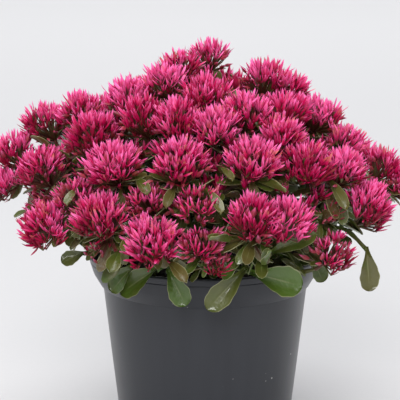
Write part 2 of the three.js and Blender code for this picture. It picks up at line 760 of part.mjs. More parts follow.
const group = new THREE.Group();
group.add(meshOf('pot', pot, 'pot'), meshOf('soil', soil, 'soil'));
branches.forEach((branch, n) => group.add(meshOf(`leafy_stems_${n + 1}`, branch, 'foliage')));
heads.forEach((head, n) => group.add(meshOf(`flower_head_${n + 1}`, head.solid, 'flowers')));

export default group;
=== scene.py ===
"""Potted two-row stonecrop: its flowers, leaves, pot and compost, with a plain stage."""

import json
import math
from itertools import combinations

import bpy
import numpy as np
from bpy.props import FloatProperty, FloatVectorProperty, IntProperty, PointerProperty
from mathutils import Matrix, Vector

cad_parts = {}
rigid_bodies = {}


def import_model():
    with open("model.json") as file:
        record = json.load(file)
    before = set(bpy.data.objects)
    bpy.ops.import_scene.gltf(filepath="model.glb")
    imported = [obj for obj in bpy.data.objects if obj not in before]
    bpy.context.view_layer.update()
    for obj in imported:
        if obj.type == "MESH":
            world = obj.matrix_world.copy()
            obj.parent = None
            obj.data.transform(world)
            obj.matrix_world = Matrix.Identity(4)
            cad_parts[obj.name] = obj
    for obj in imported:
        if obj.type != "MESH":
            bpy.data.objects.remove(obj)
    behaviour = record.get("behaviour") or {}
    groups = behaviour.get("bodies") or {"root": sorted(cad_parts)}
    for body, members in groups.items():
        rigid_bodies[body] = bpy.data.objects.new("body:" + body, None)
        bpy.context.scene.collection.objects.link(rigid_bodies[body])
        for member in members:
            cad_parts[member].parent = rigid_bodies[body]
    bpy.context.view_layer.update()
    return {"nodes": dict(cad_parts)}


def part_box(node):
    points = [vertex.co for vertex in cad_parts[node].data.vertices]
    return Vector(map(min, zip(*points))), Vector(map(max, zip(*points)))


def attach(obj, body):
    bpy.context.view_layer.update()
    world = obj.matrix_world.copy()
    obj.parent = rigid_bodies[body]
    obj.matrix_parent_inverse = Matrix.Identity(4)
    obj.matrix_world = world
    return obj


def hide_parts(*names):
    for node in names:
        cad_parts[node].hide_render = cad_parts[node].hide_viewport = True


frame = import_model()

bl_info = {
    "name": "Potted two-row stonecrop",
    "version": (1, 0, 0),
    "blender": (4, 5, 0),
    "location": "3D View > Sidebar > Stonecrop",
    "description": "Grows the flowers and leaves of a potted stonecrop over its solids",
    "category": "Object",
}

# The layout of the mound of flower heads, in millimetres, the same as the solids'
MOUND_RADIUS = 104
MOUND_MIDDLE = 128
MOUND_RISE = 89
MOUND_SAG = 50
MOUND_POWER = 1.75
FAR_WIDEST = 144
FAR_TOP = 208
FAR_UNDERSIDE = 108
FAR_POWER_ABOVE = 1.25
FAR_POWER_BELOW = 2
LOWEST_HEAD = 126
POT_HEIGHT = 113
RIM_RADIUS = 65
LOBE_COUNT = 66
HEAD_COUNT = 46
PLACES_DRAWN = 240
FAR_SIDE = 0
FAR_LOBE_RADIUS = (17, 20)
AXIS_LIFT = 0.75
STALK_LENGTH = 6
HEAD_GAP = 0.5
VIEW_TILT = math.radians(12)
VIEW_DISTANCE = 950

# Flowers: how far they may pass the plane between two lobes, the least share of one that is
# kept there, and their shortest and longest, in millimetres
OVERLAP = 3.2
LEAST_SHARE = 0.5
SHORTEST_FLOWER = 2.0
LONGEST_FLOWER = 8.3

# Tufts of flowers: how many stand round the topmost, and the cosine from a tuft's middle at
# which it begins and how much more makes a flower wholly its own
TUFTS = 5
TUFT_EDGE = 0.82
TUFT_FADE = 0.14

# How much a flower leans out of its lobe, to its tuft, along the lobe's axis and upwards
LEANS = (0.4, 0.4, 0.15, 0.85)

# Lobes in full flower and young ones: how far down they flower, in degrees, where in their
# radius the flowers' feet stand, the share that is closed, the change of tone (darker on young
# lobes, partly as duskier buds and partly as painted shade where they sit back in the mound),
# and the factors for the flowers' length and for the number of buds
LOBE_KINDS = {
    "open": {"cap": 92, "feet": (0.45, 0.68), "closed": 0.03, "tone_and_painted_light": 0.0, "long": 1.0,
             "buds": 1.0},
    "young": {"cap": 78, "feet": (0.5, 0.7), "closed": 0.55, "tone_and_painted_light": -0.1, "long": 0.75,
              "buds": 2.0},
}

# Radii of stalks in millimetres, and the depth of a lobe's hub in shares of its radius
LOBE_STALK = 1.15
SIDE_STALK = 0.8
FLOWER_STALK = 0.5
BUD_STALK = 0.45
HUB_DEPTH = 0.45

# Gaps for late flowers: the places tried, how far down the mound they reach, their share of the
# mound's size, their spacing and lowest level, the share of a lobe's radius that it fills, and
# how many flowers, and as many buds, grow in one gap
GAPS_TRIED = 1200
GAP_LEVELS = 1.15
GAP_DEPTH = 0.92
GAP_SPACING = 10.5
LOWEST_GAP = 137
LOBE_FILLS = 0.83
LATE_COUNT = 4

# Leaves: how deep in the mound a gap leaf's foot lies, how far forward its tip may slant, the
# lowest level of small leaves, where along it a blade is widest, and how far a rim leaf droops
LEAF_SUNK = 4
MOST_SLANT = 16
LOWEST_LEAF = 121
WIDEST = 0.7
RIM_DROOP = 0.06

# Stem leaves: the level where they start, the height over which they thicken, the least share
# of them below, and the widths and least length of a CAD stem's faces
LEAVES_FROM = 105
LEAVES_THICKEN = 60
FEWEST_LEAVES = 0.12
STEM_FACE_WIDTHS = (1.9, 2.45)
STEM_FACE_LENGTH = 6

# Pot and compost, in metres, with the number of drain holes and of crumbs
DRAIN_HOLES = 6
HOLE_RADIUS = 0.0035
HOLE_RING = 0.0285
SOIL_TOP = 0.103
SOIL_BRIM = 0.0585
CRUMB_COUNT = 650

# Corners closer than this, in metres, are made one
MERGED = 1e-6

TURN = 2 * math.pi
GOLDEN_ANGLE = math.pi * (3 - math.sqrt(5))
UP = np.array([0.0, 0.0, 1.0])

# Near lobes: across and above the middle of the rim in the front view, radius, and how deep
# inside the mound, where a lobe is young
NEAR_LOBES = [
    (-14, 97, 15, 0), (2, 103, 14, 0), (-22, 89, 16, 0), (33, 91, 17, 0), (44, 86, 15.5, 0),
    (-42, 81, 17, 0), (-67, 74, 17, 0), (-86, 67, 17, 0),
    (-61, 61, 19, 0), (-33, 71, 18, 0), (0, 83, 17, 0), (22, 73, 18, 0), (43, 74, 17, 0),
    (62, 72, 15.5, 0), (76, 58, 16, 0),
    (-103, 52, 17, 0), (-89, 43, 18, 0), (-50, 46, 20, 0), (-14, 69, 18, 0),
    (5, 66, 17, 0), (40, 61, 17, 0), (-14, 48, 20, 0), (25, 49, 20, 0), (54, 46, 19, 0),
    (75, 43, 17, 0), (97, 43, 15.5, 0),
    (-107, 33, 18, 0), (-57, 18, 19, 0), (-75, 30, 16, 5), (-34, 31, 16, 9), (-6, 26, 18, 5),
    (26, 17, 20, 0), (44, 16, 18, 0), (88, 25, 19, 0), (108, 31, 16, 0),
    (-87, 12, 19, 0), (-60, 3, 14, 6), (-30, 5, 20, 0), (-3, 5, 15, 4),
    (6, -8, 11, 8), (73, -3, 16, 4),
]

# Large leaves at the rim: foot and tip in the front view with their distance forward, width,
# how bronzed the leaf is, and how far its face is twisted towards the front, in degrees
RIM_LEAVES = [
    ((-21, -8, 69), (-11, -29, 77), 12, 0.0, 0),
    ((23, -7, 71), (1, -31, 79), 13, 0.4, 0),
    ((24, -10, 70), (54, -18, 70), 17, 0.0, 12),
    ((-25, -7, 68), (-48, -22, 66), 14, 0.25, 0),
    ((-39, -6, 64.8), (-53, -21, 65.8), 12, 0.2, 0),
    ((89, 3, 35), (92, -22, 40), 12, 0.6, 50),
    ((-66, 0, 50), (-80, -5, 54), 9, 0.4, -25),
    ((33, 0, 82), (61, 12, 90), 9, 0.3, 0),
    ((-18, -1, 72), (-10, -13, 78), 8, 0.6, 0),
    ((58, -2, 52), (66, -16, 56), 10, 0.2, 25),
]

# Leaves that show between the heads: foot and tip in the front view, how far the tip stands
# out of the mound's surface, width, and how bronzed the leaf is, set high in part to darken it as
# painted shade where it lies between the heads
GAP_LEAVES = [
    ((33, -5), (34, 4), 15, 5, 0.2), ((14, 8), (2, 12), 12, 7, 0.4),
    ((28, 41), (45, 37), 11, 6, 0.4), ((7, 47), (15, 43), 9, 5, 0.5),
    ((-1, 36), (9, 25), 13, 7, 0.6), ((-38, 10), (-46, 4), 12, 7, 0.4),
    ((36, 68), (41, 59), 9, 6, 0.6), ((24, 73), (30, 70), 9, 5, 0.4),
    ((67, 41), (78, 26), 13, 7, 0.6), ((82, 47), (90, 43), 9, 6, 0.2),
    ((-97, 23), (-106, 20), -2, 4, 0.5), ((-68, 36), (-77, 29), 14, 7, 0.5),
    ((-67, 53), (-73, 60), 9, 6, 0.5), ((-90, 62), (-96, 68), 6, 5, 0.2),
    ((-84, 56), (-95, 64), -6, 7, 1.0), ((-97, 48), (-107, 45), -8, 8, 1.0),
    ((-21, -3), (-11, -13), 13, 7, 0.7), ((-48, 2), (-53, -8), 10, 8, 0.4),
    ((-39, 42), (-32, 35), 11, 7, 0.5), ((-16, 38), (-22, 28), 13, 6, 0.7),
    ((-74, 52), (-80, 57), 6, 7, 0.3), ((-80, 64), (-72, 58), 5, 6, 0.3),
    ((-96, 48), (-92, 54), 5, 6, 0.3), ((14, 88), (20, 84), 5, 5, 0.4),
]


def linear(hex_colour):
    """A colour's linear values from its six hexadecimal digits."""
    shown = [int(hex_colour[k : k + 2], 16) / 255 for k in (0, 2, 4)]
    return [v / 12.92 if v < 0.04045 else ((v + 0.055) / 1.055) ** 2.4 for v in shown]


def colour(name, description, hex_colour):
    return FloatVectorProperty(
        name=name, description=description, subtype="COLOR", size=3, min=0, max=1,
        default=linear(hex_colour),
    )


def length(name, description, default):
    return FloatProperty(
        name=name, description=description, unit="LENGTH", subtype="DISTANCE", min=0,
        default=default, precision=4,
    )


class StonecropSizes(bpy.types.PropertyGroup):
    """Sizes that a user may change."""

    petal_width: FloatProperty(
        name="Petal width", description="Width of a petal as a share of its length",
        default=0.18, min=0.05, max=0.6,
    )
    flower_crowding: FloatProperty(
        name="Flower crowding", description="Flowers for each square millimetre of lobe radius",
        default=0.168, min=0.02, max=0.3,
    )
    buds_per_lobe: IntProperty(
        name="Buds", description="Buds round the lower edge of each lobe", default=22, min=0,
        max=60,
    )
    bracts_per_lobe: IntProperty(
        name="Small leaves", description="Small leaves under each lobe", default=6, min=0, max=12,
    )
    leaf_spacing: length("Leaf spacing", "Stem face between one small leaf and the next", 0.007)
    stem_swell: length("Stem swell", "How far the smoothed stems are filled out", 0.00045)
    leaf_thickness: length("Leaf thickness", "Thickness of a rim leaf's blade", 0.0016)
    pot_wall: length("Pot wall", "Thickness of the pot's wall", 0.0013)
    crumb: length("Crumb", "Radius of a middling crumb of compost", 0.0011)


class StonecropColours(bpy.types.PropertyGroup):
    """Colours that a user may change."""

    petal_base: colour("Petal base", "Petals where they meet", "6a0d14")
    petal_middle: colour("Petal middle", "Petals half way up", "d2065c")
    # The pale colour of petal tips, also used for the painted highlights on petal edges and tips
    petal_tip_and_highlight: colour("Petal tip", "Petal tips and edges", "ff76bd")
    petal_faded: colour("Faded petal", "Petals that fade to salmon", "d27560")
    bud: colour("Bud", "Closed buds", "b83f55")
    stalk: colour("Stalk", "Flower stalks", "5a2a22")
    calyx: colour("Calyx", "Green cups under the flowers", "565a2c")
    leaf: colour("Leaf", "Fresh leaves", "47611b")
    leaf_bronze: colour("Bronzed leaf", "Leaves that have turned", "60442a")
    leaf_margin: colour("Leaf margin", "Pale edges of the leaves", "a8a87c")
    pot: colour("Pot", "Anthracite plastic", "2f3136")
    compost: colour("Compost", "Dark compost", "1d1613")
    grit: colour("Grit", "White grit in the compost", "d9d5cc")
    backdrop: colour("Backdrop", "Floor and backdrop", "d6d6d7")


def sizes():
    return bpy.context.scene.stonecrop_sizes


def colours():
    return bpy.context.scene.stonecrop_colours


# Seeded draws, the same as the solids use


def seeded_draws(seed):
    """A function that gives the next draw between 0 and 1 each time."""
    state = seed
    mask = 0xFFFFFFFF

    def draw():
        nonlocal state
        state = (state + 0x6D2B79F5) & mask
        mixed = ((state ^ (state >> 15)) * (1 | state)) & mask
        mixed = ((mixed + (((mixed ^ (mixed >> 7)) * (61 | mixed)) & mask)) & mask) ^ mixed
        return (mixed ^ (mixed >> 14)) / 4294967296

    return draw


# Layout of the lobes


def outside_mound(point):
    """Below 0 inside the mound of flower heads, 0 on its surface and above 0 outside."""
    across = math.hypot(point[0], point[1]) / MOUND_RADIUS
    drop = (point[2] - MOUND_MIDDLE) / (MOUND_RISE if point[2] > MOUND_MIDDLE else MOUND_SAG)
    return across**MOUND_POWER + abs(drop) ** MOUND_POWER - 1


def mound_normal(point):
    slope = Vector()
    for axis in range(3):
        step = Vector((0, 0, 0))
        step[axis] = 0.5
        slope[axis] = outside_mound(point + step) - outside_mound(point - step)
    return slope.normalized()


def from_view(across, above, forward):
    """A point from its place in the front view and its distance in front of the pot's axis."""
    nearer = 1 - forward / VIEW_DISTANCE
    rise = (above * nearer + forward * math.sin(VIEW_TILT)) / math.cos(VIEW_TILT)
    return Vector((across * nearer, -forward, POT_HEIGHT + rise))


def on_mound(across, above):
    """The nearest point of the mound that the front view sees at a place."""
    best = from_view(across, above, 0)
    entered = False
    for forward in range(-20, MOUND_RADIUS + 6):
        point = from_view(across, above, forward)
        outside = outside_mound(point)
        entered = entered or outside < 0
        if entered and outside > 0:
            return point
        if outside < outside_mound(best):
            best = point
    return best


def far_reach(z):
    """The distance of the far side's heads from the pot's axis at a level."""
    above = z > FAR_WIDEST
    drop = (z - FAR_WIDEST) / ((FAR_TOP if above else FAR_UNDERSIDE) - FAR_WIDEST)
    power = FAR_POWER_ABOVE if above else FAR_POWER_BELOW
    return MOUND_RADIUS * (1 - drop**power) ** (1 / power)


def far_place(draw, lobes):
    """The roomiest of many drawn places for one more lobe, on the far side."""
    low, high = FAR_LOBE_RADIUS
    radius = low + (high - low) * draw()
    taken = np.array([lobe["at"] for lobe in lobes])
    radii = np.array([lobe["radius"] for lobe in lobes])
    best, most = None, -math.inf
    for _ in range(PLACES_DRAWN):
        z = LOWEST_HEAD + (FAR_TOP - LOWEST_HEAD) * draw()
        out = far_reach(z)
        angle = TURN * draw()
        at = Vector((out * math.cos(angle), out * math.sin(angle), z))
        room = (np.linalg.norm(taken - at, axis=1) - radius - radii).min()
        if at.y > FAR_SIDE and room > most:
            best, most = at, room
    return {"at": best, "radius": radius, "kind": "open"}


def lay_out_lobes():
    """Every lobe with its middle, radius, axis, turn and the planes that part it from others."""
    draw = seeded_draws(20)
    lobes = []
    for across, above, radius, sunk in NEAR_LOBES:
        at = on_mound(across, above)
        at = at - mound_normal(at) * sunk
        lobes.append({"at": at, "radius": radius, "kind": "young" if sunk else "open"})
    while len(lobes) < LOBE_COUNT:
        lobes.append(far_place(draw, lobes))
    for lobe in lobes:
        at, radius = lobe["at"], lobe["radius"]
        lobe["axis"] = (mound_normal(at) + Vector((0, 0, AXIS_LIFT))).normalized()
        lobe["turn"] = np.array(Vector(UP).rotation_difference(lobe["axis"]).to_matrix())
        lobe["spin"] = TURN * draw()
        lobe["limits"], lobe["leaves"], lobe["gaps"] = [], [], []
        for other in lobes:
            if other is lobe:
                continue
            normal = other["at"] - at
            apart = normal.length
            share = (apart**2 + radius**2 - other["radius"] ** 2) / (2 * apart)
            lobe["limits"].append((normal / apart, share - HEAD_GAP / 2))
        if at.z - radius < POT_HEIGHT:
            outward = Vector((at.x, at.y, 0))
            reach = outward.length - RIM_RADIUS - 2 * HEAD_GAP
            lobe["limits"].append((-outward.normalized(), reach))
    return lobes


def hang_gap_leaves(lobes):
    """Gives each leaf that shows between the heads to the lobe whose stalk is nearest."""
    for foot, tip, out, width, bronze in GAP_LEAVES:
        depth = -on_mound(*foot).y - LEAF_SUNK
        start = from_view(*foot, depth)
        slant = -on_mound(*tip).y + out - depth
        end = from_view(*tip, depth + min(max(slant, 0), MOST_SLANT))
        nearest = min(lobes, key=lambda lobe: (lobe["at"] - start).length)
        nearest["leaves"].append((np.array(start), np.array(end), width, bronze))


def fill_gaps(lobes):
    """Finds the places a little inside the mound that no lobe fills, for late flowers, and
    gives each to the lobe nearest it."""
    middle = np.array([0, 0, MOUND_MIDDLE])
    at = np.array([lobe["at"] for lobe in lobes])
    radii = np.array([lobe["radius"] for lobe in lobes])
    kept = []
    for n in range(GAPS_TRIED):
        level = 1 - GAP_LEVELS * (n + 0.5) / GAPS_TRIED
        flat = math.sqrt(1 - level**2)
        angle = n * GOLDEN_ANGLE
        out = np.array([flat * math.cos(angle), flat * math.sin(angle), level])
        rise = MOUND_RISE if level > 0 else MOUND_SAG
        size = (flat / MOUND_RADIUS) ** MOUND_POWER + (abs(level) / rise) ** MOUND_POWER
        point = middle + out * GAP_DEPTH * size ** (-1 / MOUND_POWER)
        if point[2] < LOWEST_GAP:
            continue
        room = np.linalg.norm(at - point, axis=1) - LOBE_FILLS * radii
        if room.min() > 0 and all(np.linalg.norm(point - k) > GAP_SPACING for k in kept):
            kept.append(point)
            lobes[room.argmin()]["gaps"].append(point)


def group_lobes(lobes):
    """The lobes of each head, paired closest first, in the order of the solids' names."""
    pairs = sorted(
        ((a["at"] - b["at"]).length / (a["radius"] + b["radius"]), i, j)
        for (i, a), (j, b) in combinations(enumerate(lobes), 2))
    taken, heads = set(), []
    for _, i, j in pairs:
        if len(heads) < len(lobes) - HEAD_COUNT and i not in taken and j not in taken:
            taken |= {i, j}
            heads.append([lobes[i], lobes[j]])
    heads += [[lobe] for i, lobe in enumerate(lobes) if i not in taken]
    return heads


# Modelling


def deselect():
    if bpy.context.object and bpy.context.object.mode != "OBJECT":
        bpy.ops.object.mode_set(mode="OBJECT")
    bpy.ops.object.select_all(action="DESELECT")


def take(piece):
    """Selects one piece alone and makes it the active one."""
    deselect()
    piece.select_set(True)
    bpy.context.view_layer.objects.active = piece


def edited(piece, operator, **settings):
    """Runs a mesh operator on one whole piece."""
    take(piece)
    bpy.ops.object.mode_set(mode="EDIT")
    bpy.ops.mesh.select_all(action="SELECT")
    operator(**settings)
    bpy.ops.object.mode_set(mode="OBJECT")


def recalculate(piece):
    edited(piece, bpy.ops.mesh.remove_doubles, threshold=MERGED)
    edited(piece, bpy.ops.mesh.normals_make_consistent, inside=False)


def select_points(piece, wanted):
    """Selects the vertices of the active piece whose place passes a test, in edit mode."""
    bpy.ops.object.mode_set(mode="OBJECT")
    for part in (piece.data.polygons, piece.data.edges):
        part.foreach_set("select", [False] * len(part))
    piece.data.vertices.foreach_set("select", [bool(wanted(v.co)) for v in piece.data.vertices])
    bpy.ops.object.mode_set(mode="EDIT")
    bpy.ops.mesh.select_mode(type="VERT")


def loft(name, sides, rings, tip, turn=0.0, shape=None):
    """A closed body drawn from a round primitive ring by ring along Z, and to a tip if one is
    given. A ring is its middle, half width and half depth. shape says how far each corner of
    the first ring moves before the rest is drawn."""
    deselect()
    bpy.ops.mesh.primitive_circle_add(
        vertices=sides, radius=1, fill_type="NGON", location=(0, 0, 0), rotation=(0, 0, turn))
    piece = bpy.context.object
    piece.name = name
    bpy.ops.object.transform_apply(location=True, rotation=True, scale=True)
    bpy.ops.object.mode_set(mode="EDIT")
    if shape:
        for corner in [v.co.copy() for v in piece.data.vertices]:
            select_points(piece, lambda co, corner=corner: (co - corner).length < 1e-4)
            bpy.ops.transform.translate(value=shape(corner))
    bpy.ops.mesh.select_all(action="SELECT")
    middle, wide, deep = rings[0]
    bpy.ops.transform.resize(value=(wide, deep, 1), center_override=(0, 0, 0))
    bpy.ops.transform.translate(value=middle)
    for place, width, depth in rings[1:]:
        step = tuple(b - a for a, b in zip(middle, place))
        bpy.ops.mesh.extrude_region_move(TRANSFORM_OT_translate={"value": step})
        bpy.ops.transform.resize(value=(width / wide, depth / deep, 1), center_override=place)
        middle, wide, deep = place, width, depth
    if tip:
        step = tuple(b - a for a, b in zip(middle, tip))
        bpy.ops.mesh.extrude_region_move(TRANSFORM_OT_translate={"value": step})
        bpy.ops.transform.resize(value=(0, 0, 0), center_override=tip)
        bpy.ops.mesh.merge(type="CENTER")
    bpy.ops.mesh.select_all(action="SELECT")
    bpy.ops.mesh.normals_make_consistent(inside=False)
    bpy.ops.object.mode_set(mode="OBJECT")
    return piece


def revolved(name, sides, profile, tip):
    """A body of round rings, from their radii and levels, that closes at a tip on its axis."""
    return loft(name, sides, [((0, 0, z), r, r) for r, z in profile], (0, 0, tip))


def apply_modifier(piece, kind, **settings):
    take(piece)
    bpy.ops.object.modifier_add(type=kind)
    modifier = piece.modifiers[-1]
    for name, value in settings.items():
        setattr(modifier, name, value)
    bpy.ops.object.modifier_apply(modifier=modifier.name)


def smooth(piece, degrees):
    take(piece)
    bpy.ops.object.shade_smooth_by_angle(angle=math.radians(degrees))


def corners_of(mesh):
    """The places of a mesh's vertices, a row each."""
    points = np.empty(len(mesh.vertices) * 3)
    mesh.vertices.foreach_get("co", points)
    return points.reshape(-1, 3)


class Model:
    """A shape modelled once: its points, triangles, and each point's place along and across."""

    def __init__(self, points, triangles, along, across):
        self.points, self.triangles = points, triangles
        self.along, self.across = along, across

    @classmethod
    def of(cls, piece):
        """Takes the shape from a modelled piece, which isn't needed any more."""
        edited(piece, bpy.ops.mesh.quads_convert_to_tris)
        mesh = piece.data
        points = corners_of(mesh)
        triangles = np.empty(len(mesh.polygons) * 3, dtype=int)
        mesh.polygons.foreach_get("vertices", triangles)
        low, high = points[:, 2].min(), points[:, 2].max()
        along = (points[:, 2] - low) / (high - low)
        across = np.zeros(len(points))
        for level in np.unique(points[:, 2].round(6)):
            ring = np.abs(points[:, 2] - level) < 1e-5
            half = np.abs(points[ring, 0]).max()
            across[ring] = np.abs(points[ring, 0]) / half if half > 1e-6 else 1
        bpy.ops.object.delete()
        return cls(points, triangles.reshape(-1, 3), along, across)

    def turned(self, angle, tilt=0.0):
        """The model tipped from its axis, then turned about it."""
        turn = np.array(Matrix.Rotation(angle, 3, "Z") @ Matrix.Rotation(tilt, 3, "X"))
        return Model(self.points @ turn.T, self.triangles, self.along, self.across)

    @classmethod
    def joined(cls, models):
        offsets = np.cumsum([0] + [len(model.points) for model in models[:-1]])
        triangles = np.vstack([model.triangles + n for model, n in zip(models, offsets)])
        points, along, across = (
            np.concatenate([getattr(model, part) for model in models])
            for part in ("points", "along", "across"))
        return cls(points, triangles, along, across)


class Gathering:
    """Copies of models, gathered into one piece with its own mesh."""

    def __init__(self):
        self.points, self.triangles, self.finishes = [], [], []
        self.surface, self.tone = [], []
        self.count = 0

    def add(self, model, places, tones, finish):
        """Copies of a model at 4 by 4 places, in millimetres, each with its own tone."""
        places = np.asarray(places, dtype=float).reshape(-1, 4, 4)
        if not len(places):
            return
        size = len(model.points)
        points = np.einsum("kij,pj->kpi", places[:, :3, :3], model.points)
        points += places[:, None, :3, 3]
        offsets = self.count + size * np.arange(len(places))
        triangles = model.triangles[None] + offsets[:, None, None]
        self.count += size * len(places)
        self.points.append(points.reshape(-1, 3))
        self.triangles.append(triangles.reshape(-1, 3))
        self.finishes.append(np.full(triangles.shape[0] * triangles.shape[1], finish))
        uv = np.stack([model.along, model.across], 1)
        self.surface.append(np.tile(uv, (len(places), 1)))
        tones = np.repeat(np.asarray(tones, dtype=float), size)
        self.tone.append(np.stack([tones, np.zeros_like(tones)], 1))

    def piece(self, name, finishes, degrees):
        """The copies as one object, in metres, shaded smooth up to an angle."""
        points = np.vstack(self.points) / 1000
        triangles = np.vstack(self.triangles)
        mesh = bpy.data.meshes.new(name)
        mesh.from_pydata(points.tolist(), [], triangles.tolist())
        corners = triangles.reshape(-1)
        for layer, values in (("surface", self.surface), ("tone", self.tone)):
            uv = mesh.uv_layers.new(name=layer)
            uv.data.foreach_set("uv", np.vstack(values)[corners].reshape(-1))
        for finish in finishes:
            mesh.materials.append(finish)
        mesh.polygons.foreach_set("material_index", np.concatenate(self.finishes).astype(int))
        mesh.update()
        piece = bpy.data.objects.new(name, mesh)
        bpy.context.collection.objects.link(piece)
        smooth(piece, degrees)
        return piece


def unit(vectors):
    """Rows of vectors, each brought to length 1."""
    return vectors / np.linalg.norm(vectors, axis=1)[:, None]


def frames_along(axes, spins):
    """Turns that send Z along each axis, spun about it."""
    turns = []
    for axis, spin in zip(axes, spins):
        turn = Vector(UP).rotation_difference(Vector(axis)).to_matrix()
        turns.append(np.array(turn @ Matrix.Rotation(spin, 3, "Z")))
    return np.array(turns)


def standing(feet, axes, spins, widths, heights):
    """Places that stand a model on its foot along an axis, at its own width and height."""
    places = np.zeros((len(feet), 4, 4))
    if not len(feet):
        return places
    scale = np.stack([widths, widths, heights], 1)
    places[:, :3, :3] = frames_along(axes, spins) * scale[:, None, :]
    places[:, :3, 3] = feet
    places[:, 3, 3] = 1
    return places


def spanning(starts, ends, thickness):
    """Places that stretch a model of unit length from start to end."""
    spans = np.asarray(ends) - np.asarray(starts)
    reach = np.linalg.norm(spans, axis=1)
    return standing(np.asarray(starts), unit(spans), np.zeros(len(reach)),
                    np.full(len(reach), thickness), reach)


def framed(foot, axes, reach):
    """A place at a foot, with its three axes stretched to a reach."""
    place = np.eye(4)
    place[:3, :3] = np.array(axes).T * reach
    place[:3, 3] = foot
    return place


def leaf_places(feet, axes, lengths, roll, rng):
    """Places for leaves: Z along each blade, Y out of its upper face, rolled a little."""
    places = []
    for foot, axis, reach in zip(feet, axes, lengths):
        along = Vector(axis).normalized()
        side = (Vector(UP) + Vector(rng.normal(0, roll, 3))).cross(along).normalized()
        places.append(framed(foot, (side, along.cross(side), along), reach))
    return np.array(places).reshape(-1, 4, 4)


def stand_for(piece, node):
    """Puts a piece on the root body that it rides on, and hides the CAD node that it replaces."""
    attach(piece, "root")
    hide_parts(node)


def dress(piece, degrees, finish, node):
    smooth(piece, degrees)
    piece.data.materials.append(finish)
    stand_for(piece, node)


# Materials


class Value:
    """An output socket of a material's nodes that takes part in arithmetic."""

    def __init__(self, tree, socket):
        self.tree, self.socket = tree, socket

    def through(self, kind, inputs, output=0, **settings):
        """The output of another node, with its settings made and its sockets fed."""
        node = self.tree.nodes.new(kind)
        for name, value in settings.items():
            setattr(node, name, value)
        for name, given in inputs.items():
            if isinstance(given, Value):
                self.tree.links.new(given.socket, node.inputs[name])
            else:
                node.inputs[name].default_value = given
        return Value(self.tree, node.outputs[output])

    def maths(self, operation, *operands, clamp=False):
        return self.through(
            "ShaderNodeMath", dict(enumerate(operands)), operation=operation, use_clamp=clamp)

    def __add__(self, other):
        return self.maths("ADD", self, other)

    def __radd__(self, other):
        return self.maths("ADD", other, self)

    def __sub__(self, other):
        return self.maths("SUBTRACT", self, other)

    def __rsub__(self, other):
        return self.maths("SUBTRACT", other, self)

    def __mul__(self, other):
        return self.maths("MULTIPLY", self, other)

    def clamped(self):
        return self.maths("ADD", self, 0.0, clamp=True)

    def between(self, low, high):
        """Rises smoothly from 0 to 1 as the value goes from low to high."""
        return self.through(
            "ShaderNodeMapRange", {0: self, 1: low, 2: high}, interpolation_type="SMOOTHSTEP")

    def mix(self, first, second):
        """From one colour to another as the value goes from 0 to 1."""
        return self.through(
            "ShaderNodeMix", {0: self, 6: first, 7: second}, output=2, data_type="RGBA")


def paint(name, strength=1.0):
    """One of the colours that a user may change, at a strength, as a socket takes it."""
    return (*[v * strength for v in getattr(colours(), name)], 1.0)


class Finish:
    """A material under construction, with the sources that its patterns start from."""

    def __init__(self, name):
        self.material = bpy.data.materials.new(name)
        self.material.use_nodes = True
        self.tree = self.material.node_tree
        self.shader = self.tree.nodes["Principled BSDF"]
        place = self.tree.nodes.new("ShaderNodeTexCoord")
        self.place = Value(self.tree, place.outputs["Object"])

    def uv(self, layer):
        """The two values that a UV map holds."""
        place = self.place.through("ShaderNodeUVMap", {}, uv_map=layer)
        split = self.place.through("ShaderNodeSeparateXYZ", {0: place})
        return split, Value(self.tree, split.socket.node.outputs[1])

    def height(self):
        return self.place.through("ShaderNodeSeparateXYZ", {0: self.place}, output=2)

    def noise(self, scale, detail=2.0, at=None):
        return self.place.through("ShaderNodeTexNoise", {
            "Vector": at or self.place, "Scale": scale, "Detail": detail})

    def cells(self, scale):
        return self.place.through(
            "ShaderNodeTexVoronoi", {"Vector": self.place, "Scale": scale}, output="Distance")

    def stretched(self, scale):
        return self.place.through("ShaderNodeMapping", {"Vector": self.place, "Scale": scale})

    def bump(self, height, strength, distance):
        return self.place.through("ShaderNodeBump", {
            "Height": height, "Strength": strength, "Distance": distance})

    def feed(self, **sockets):
        for name, given in sockets.items():
            socket = self.shader.inputs[name.replace("_", " ")]
            if isinstance(given, Value):
                self.tree.links.new(given.socket, socket)
            else:
                socket.default_value = given
        return self.material


def petal_finish():
    """Crimson at the foot and hot pink above, with pale tips, a painted highlight along the edges
    and on the tips, flowers of high tone made paler as painted light and those of low tone
    darker as painted shade, and flowers that fade to salmon."""
    finish = Finish("petals")
    along, across = finish.uv("surface")
    tone, _ = finish.uv("tone")
    mottle = finish.noise(380.0)
    rise = (along + (mottle - 0.5) * 0.3).between(0.02, 0.5)
    body = rise.mix(paint("petal_base"), paint("petal_middle"))
    # Painted highlight: the petal's edges turn pale towards the tip colour
    edge = across.between(0.5, 0.98) * along.between(0.2, 0.7) * 0.5
    # Pale tips, partly the petal's own colour and partly a painted highlight that grows with tone
    tip = along.between(0.62, 1.0) * (0.25 + tone * 0.75)
    # Flowers of high tone, which holds painted light from the way they face, are paler all over
    pale = (edge + tip + (tone - 0.6) * 1.1).clamped()
    petal = pale.mix(body, paint("petal_tip_and_highlight"))
    zone = finish.noise(24.0, 1.0).between(0.42, 0.58) * 0.7 + 0.3
    faded = finish.noise(150.0).between(0.53, 0.66) * along.between(0.4, 0.95) * zone
    petal = faded.mix(petal, paint("petal_faded"))
    # Painted shade: flowers of low tone, most of them facing down, darken to the base colour
    deep = (0.45 - tone).clamped() * 1.7
    petal = deep.mix(petal, paint("petal_base"))
    return finish.feed(
        Base_Color=petal, Roughness=0.45 + mottle * 0.15, Specular_IOR_Level=0.3,
        Normal=finish.bump(finish.noise(900.0), 0.25, 0.0002))


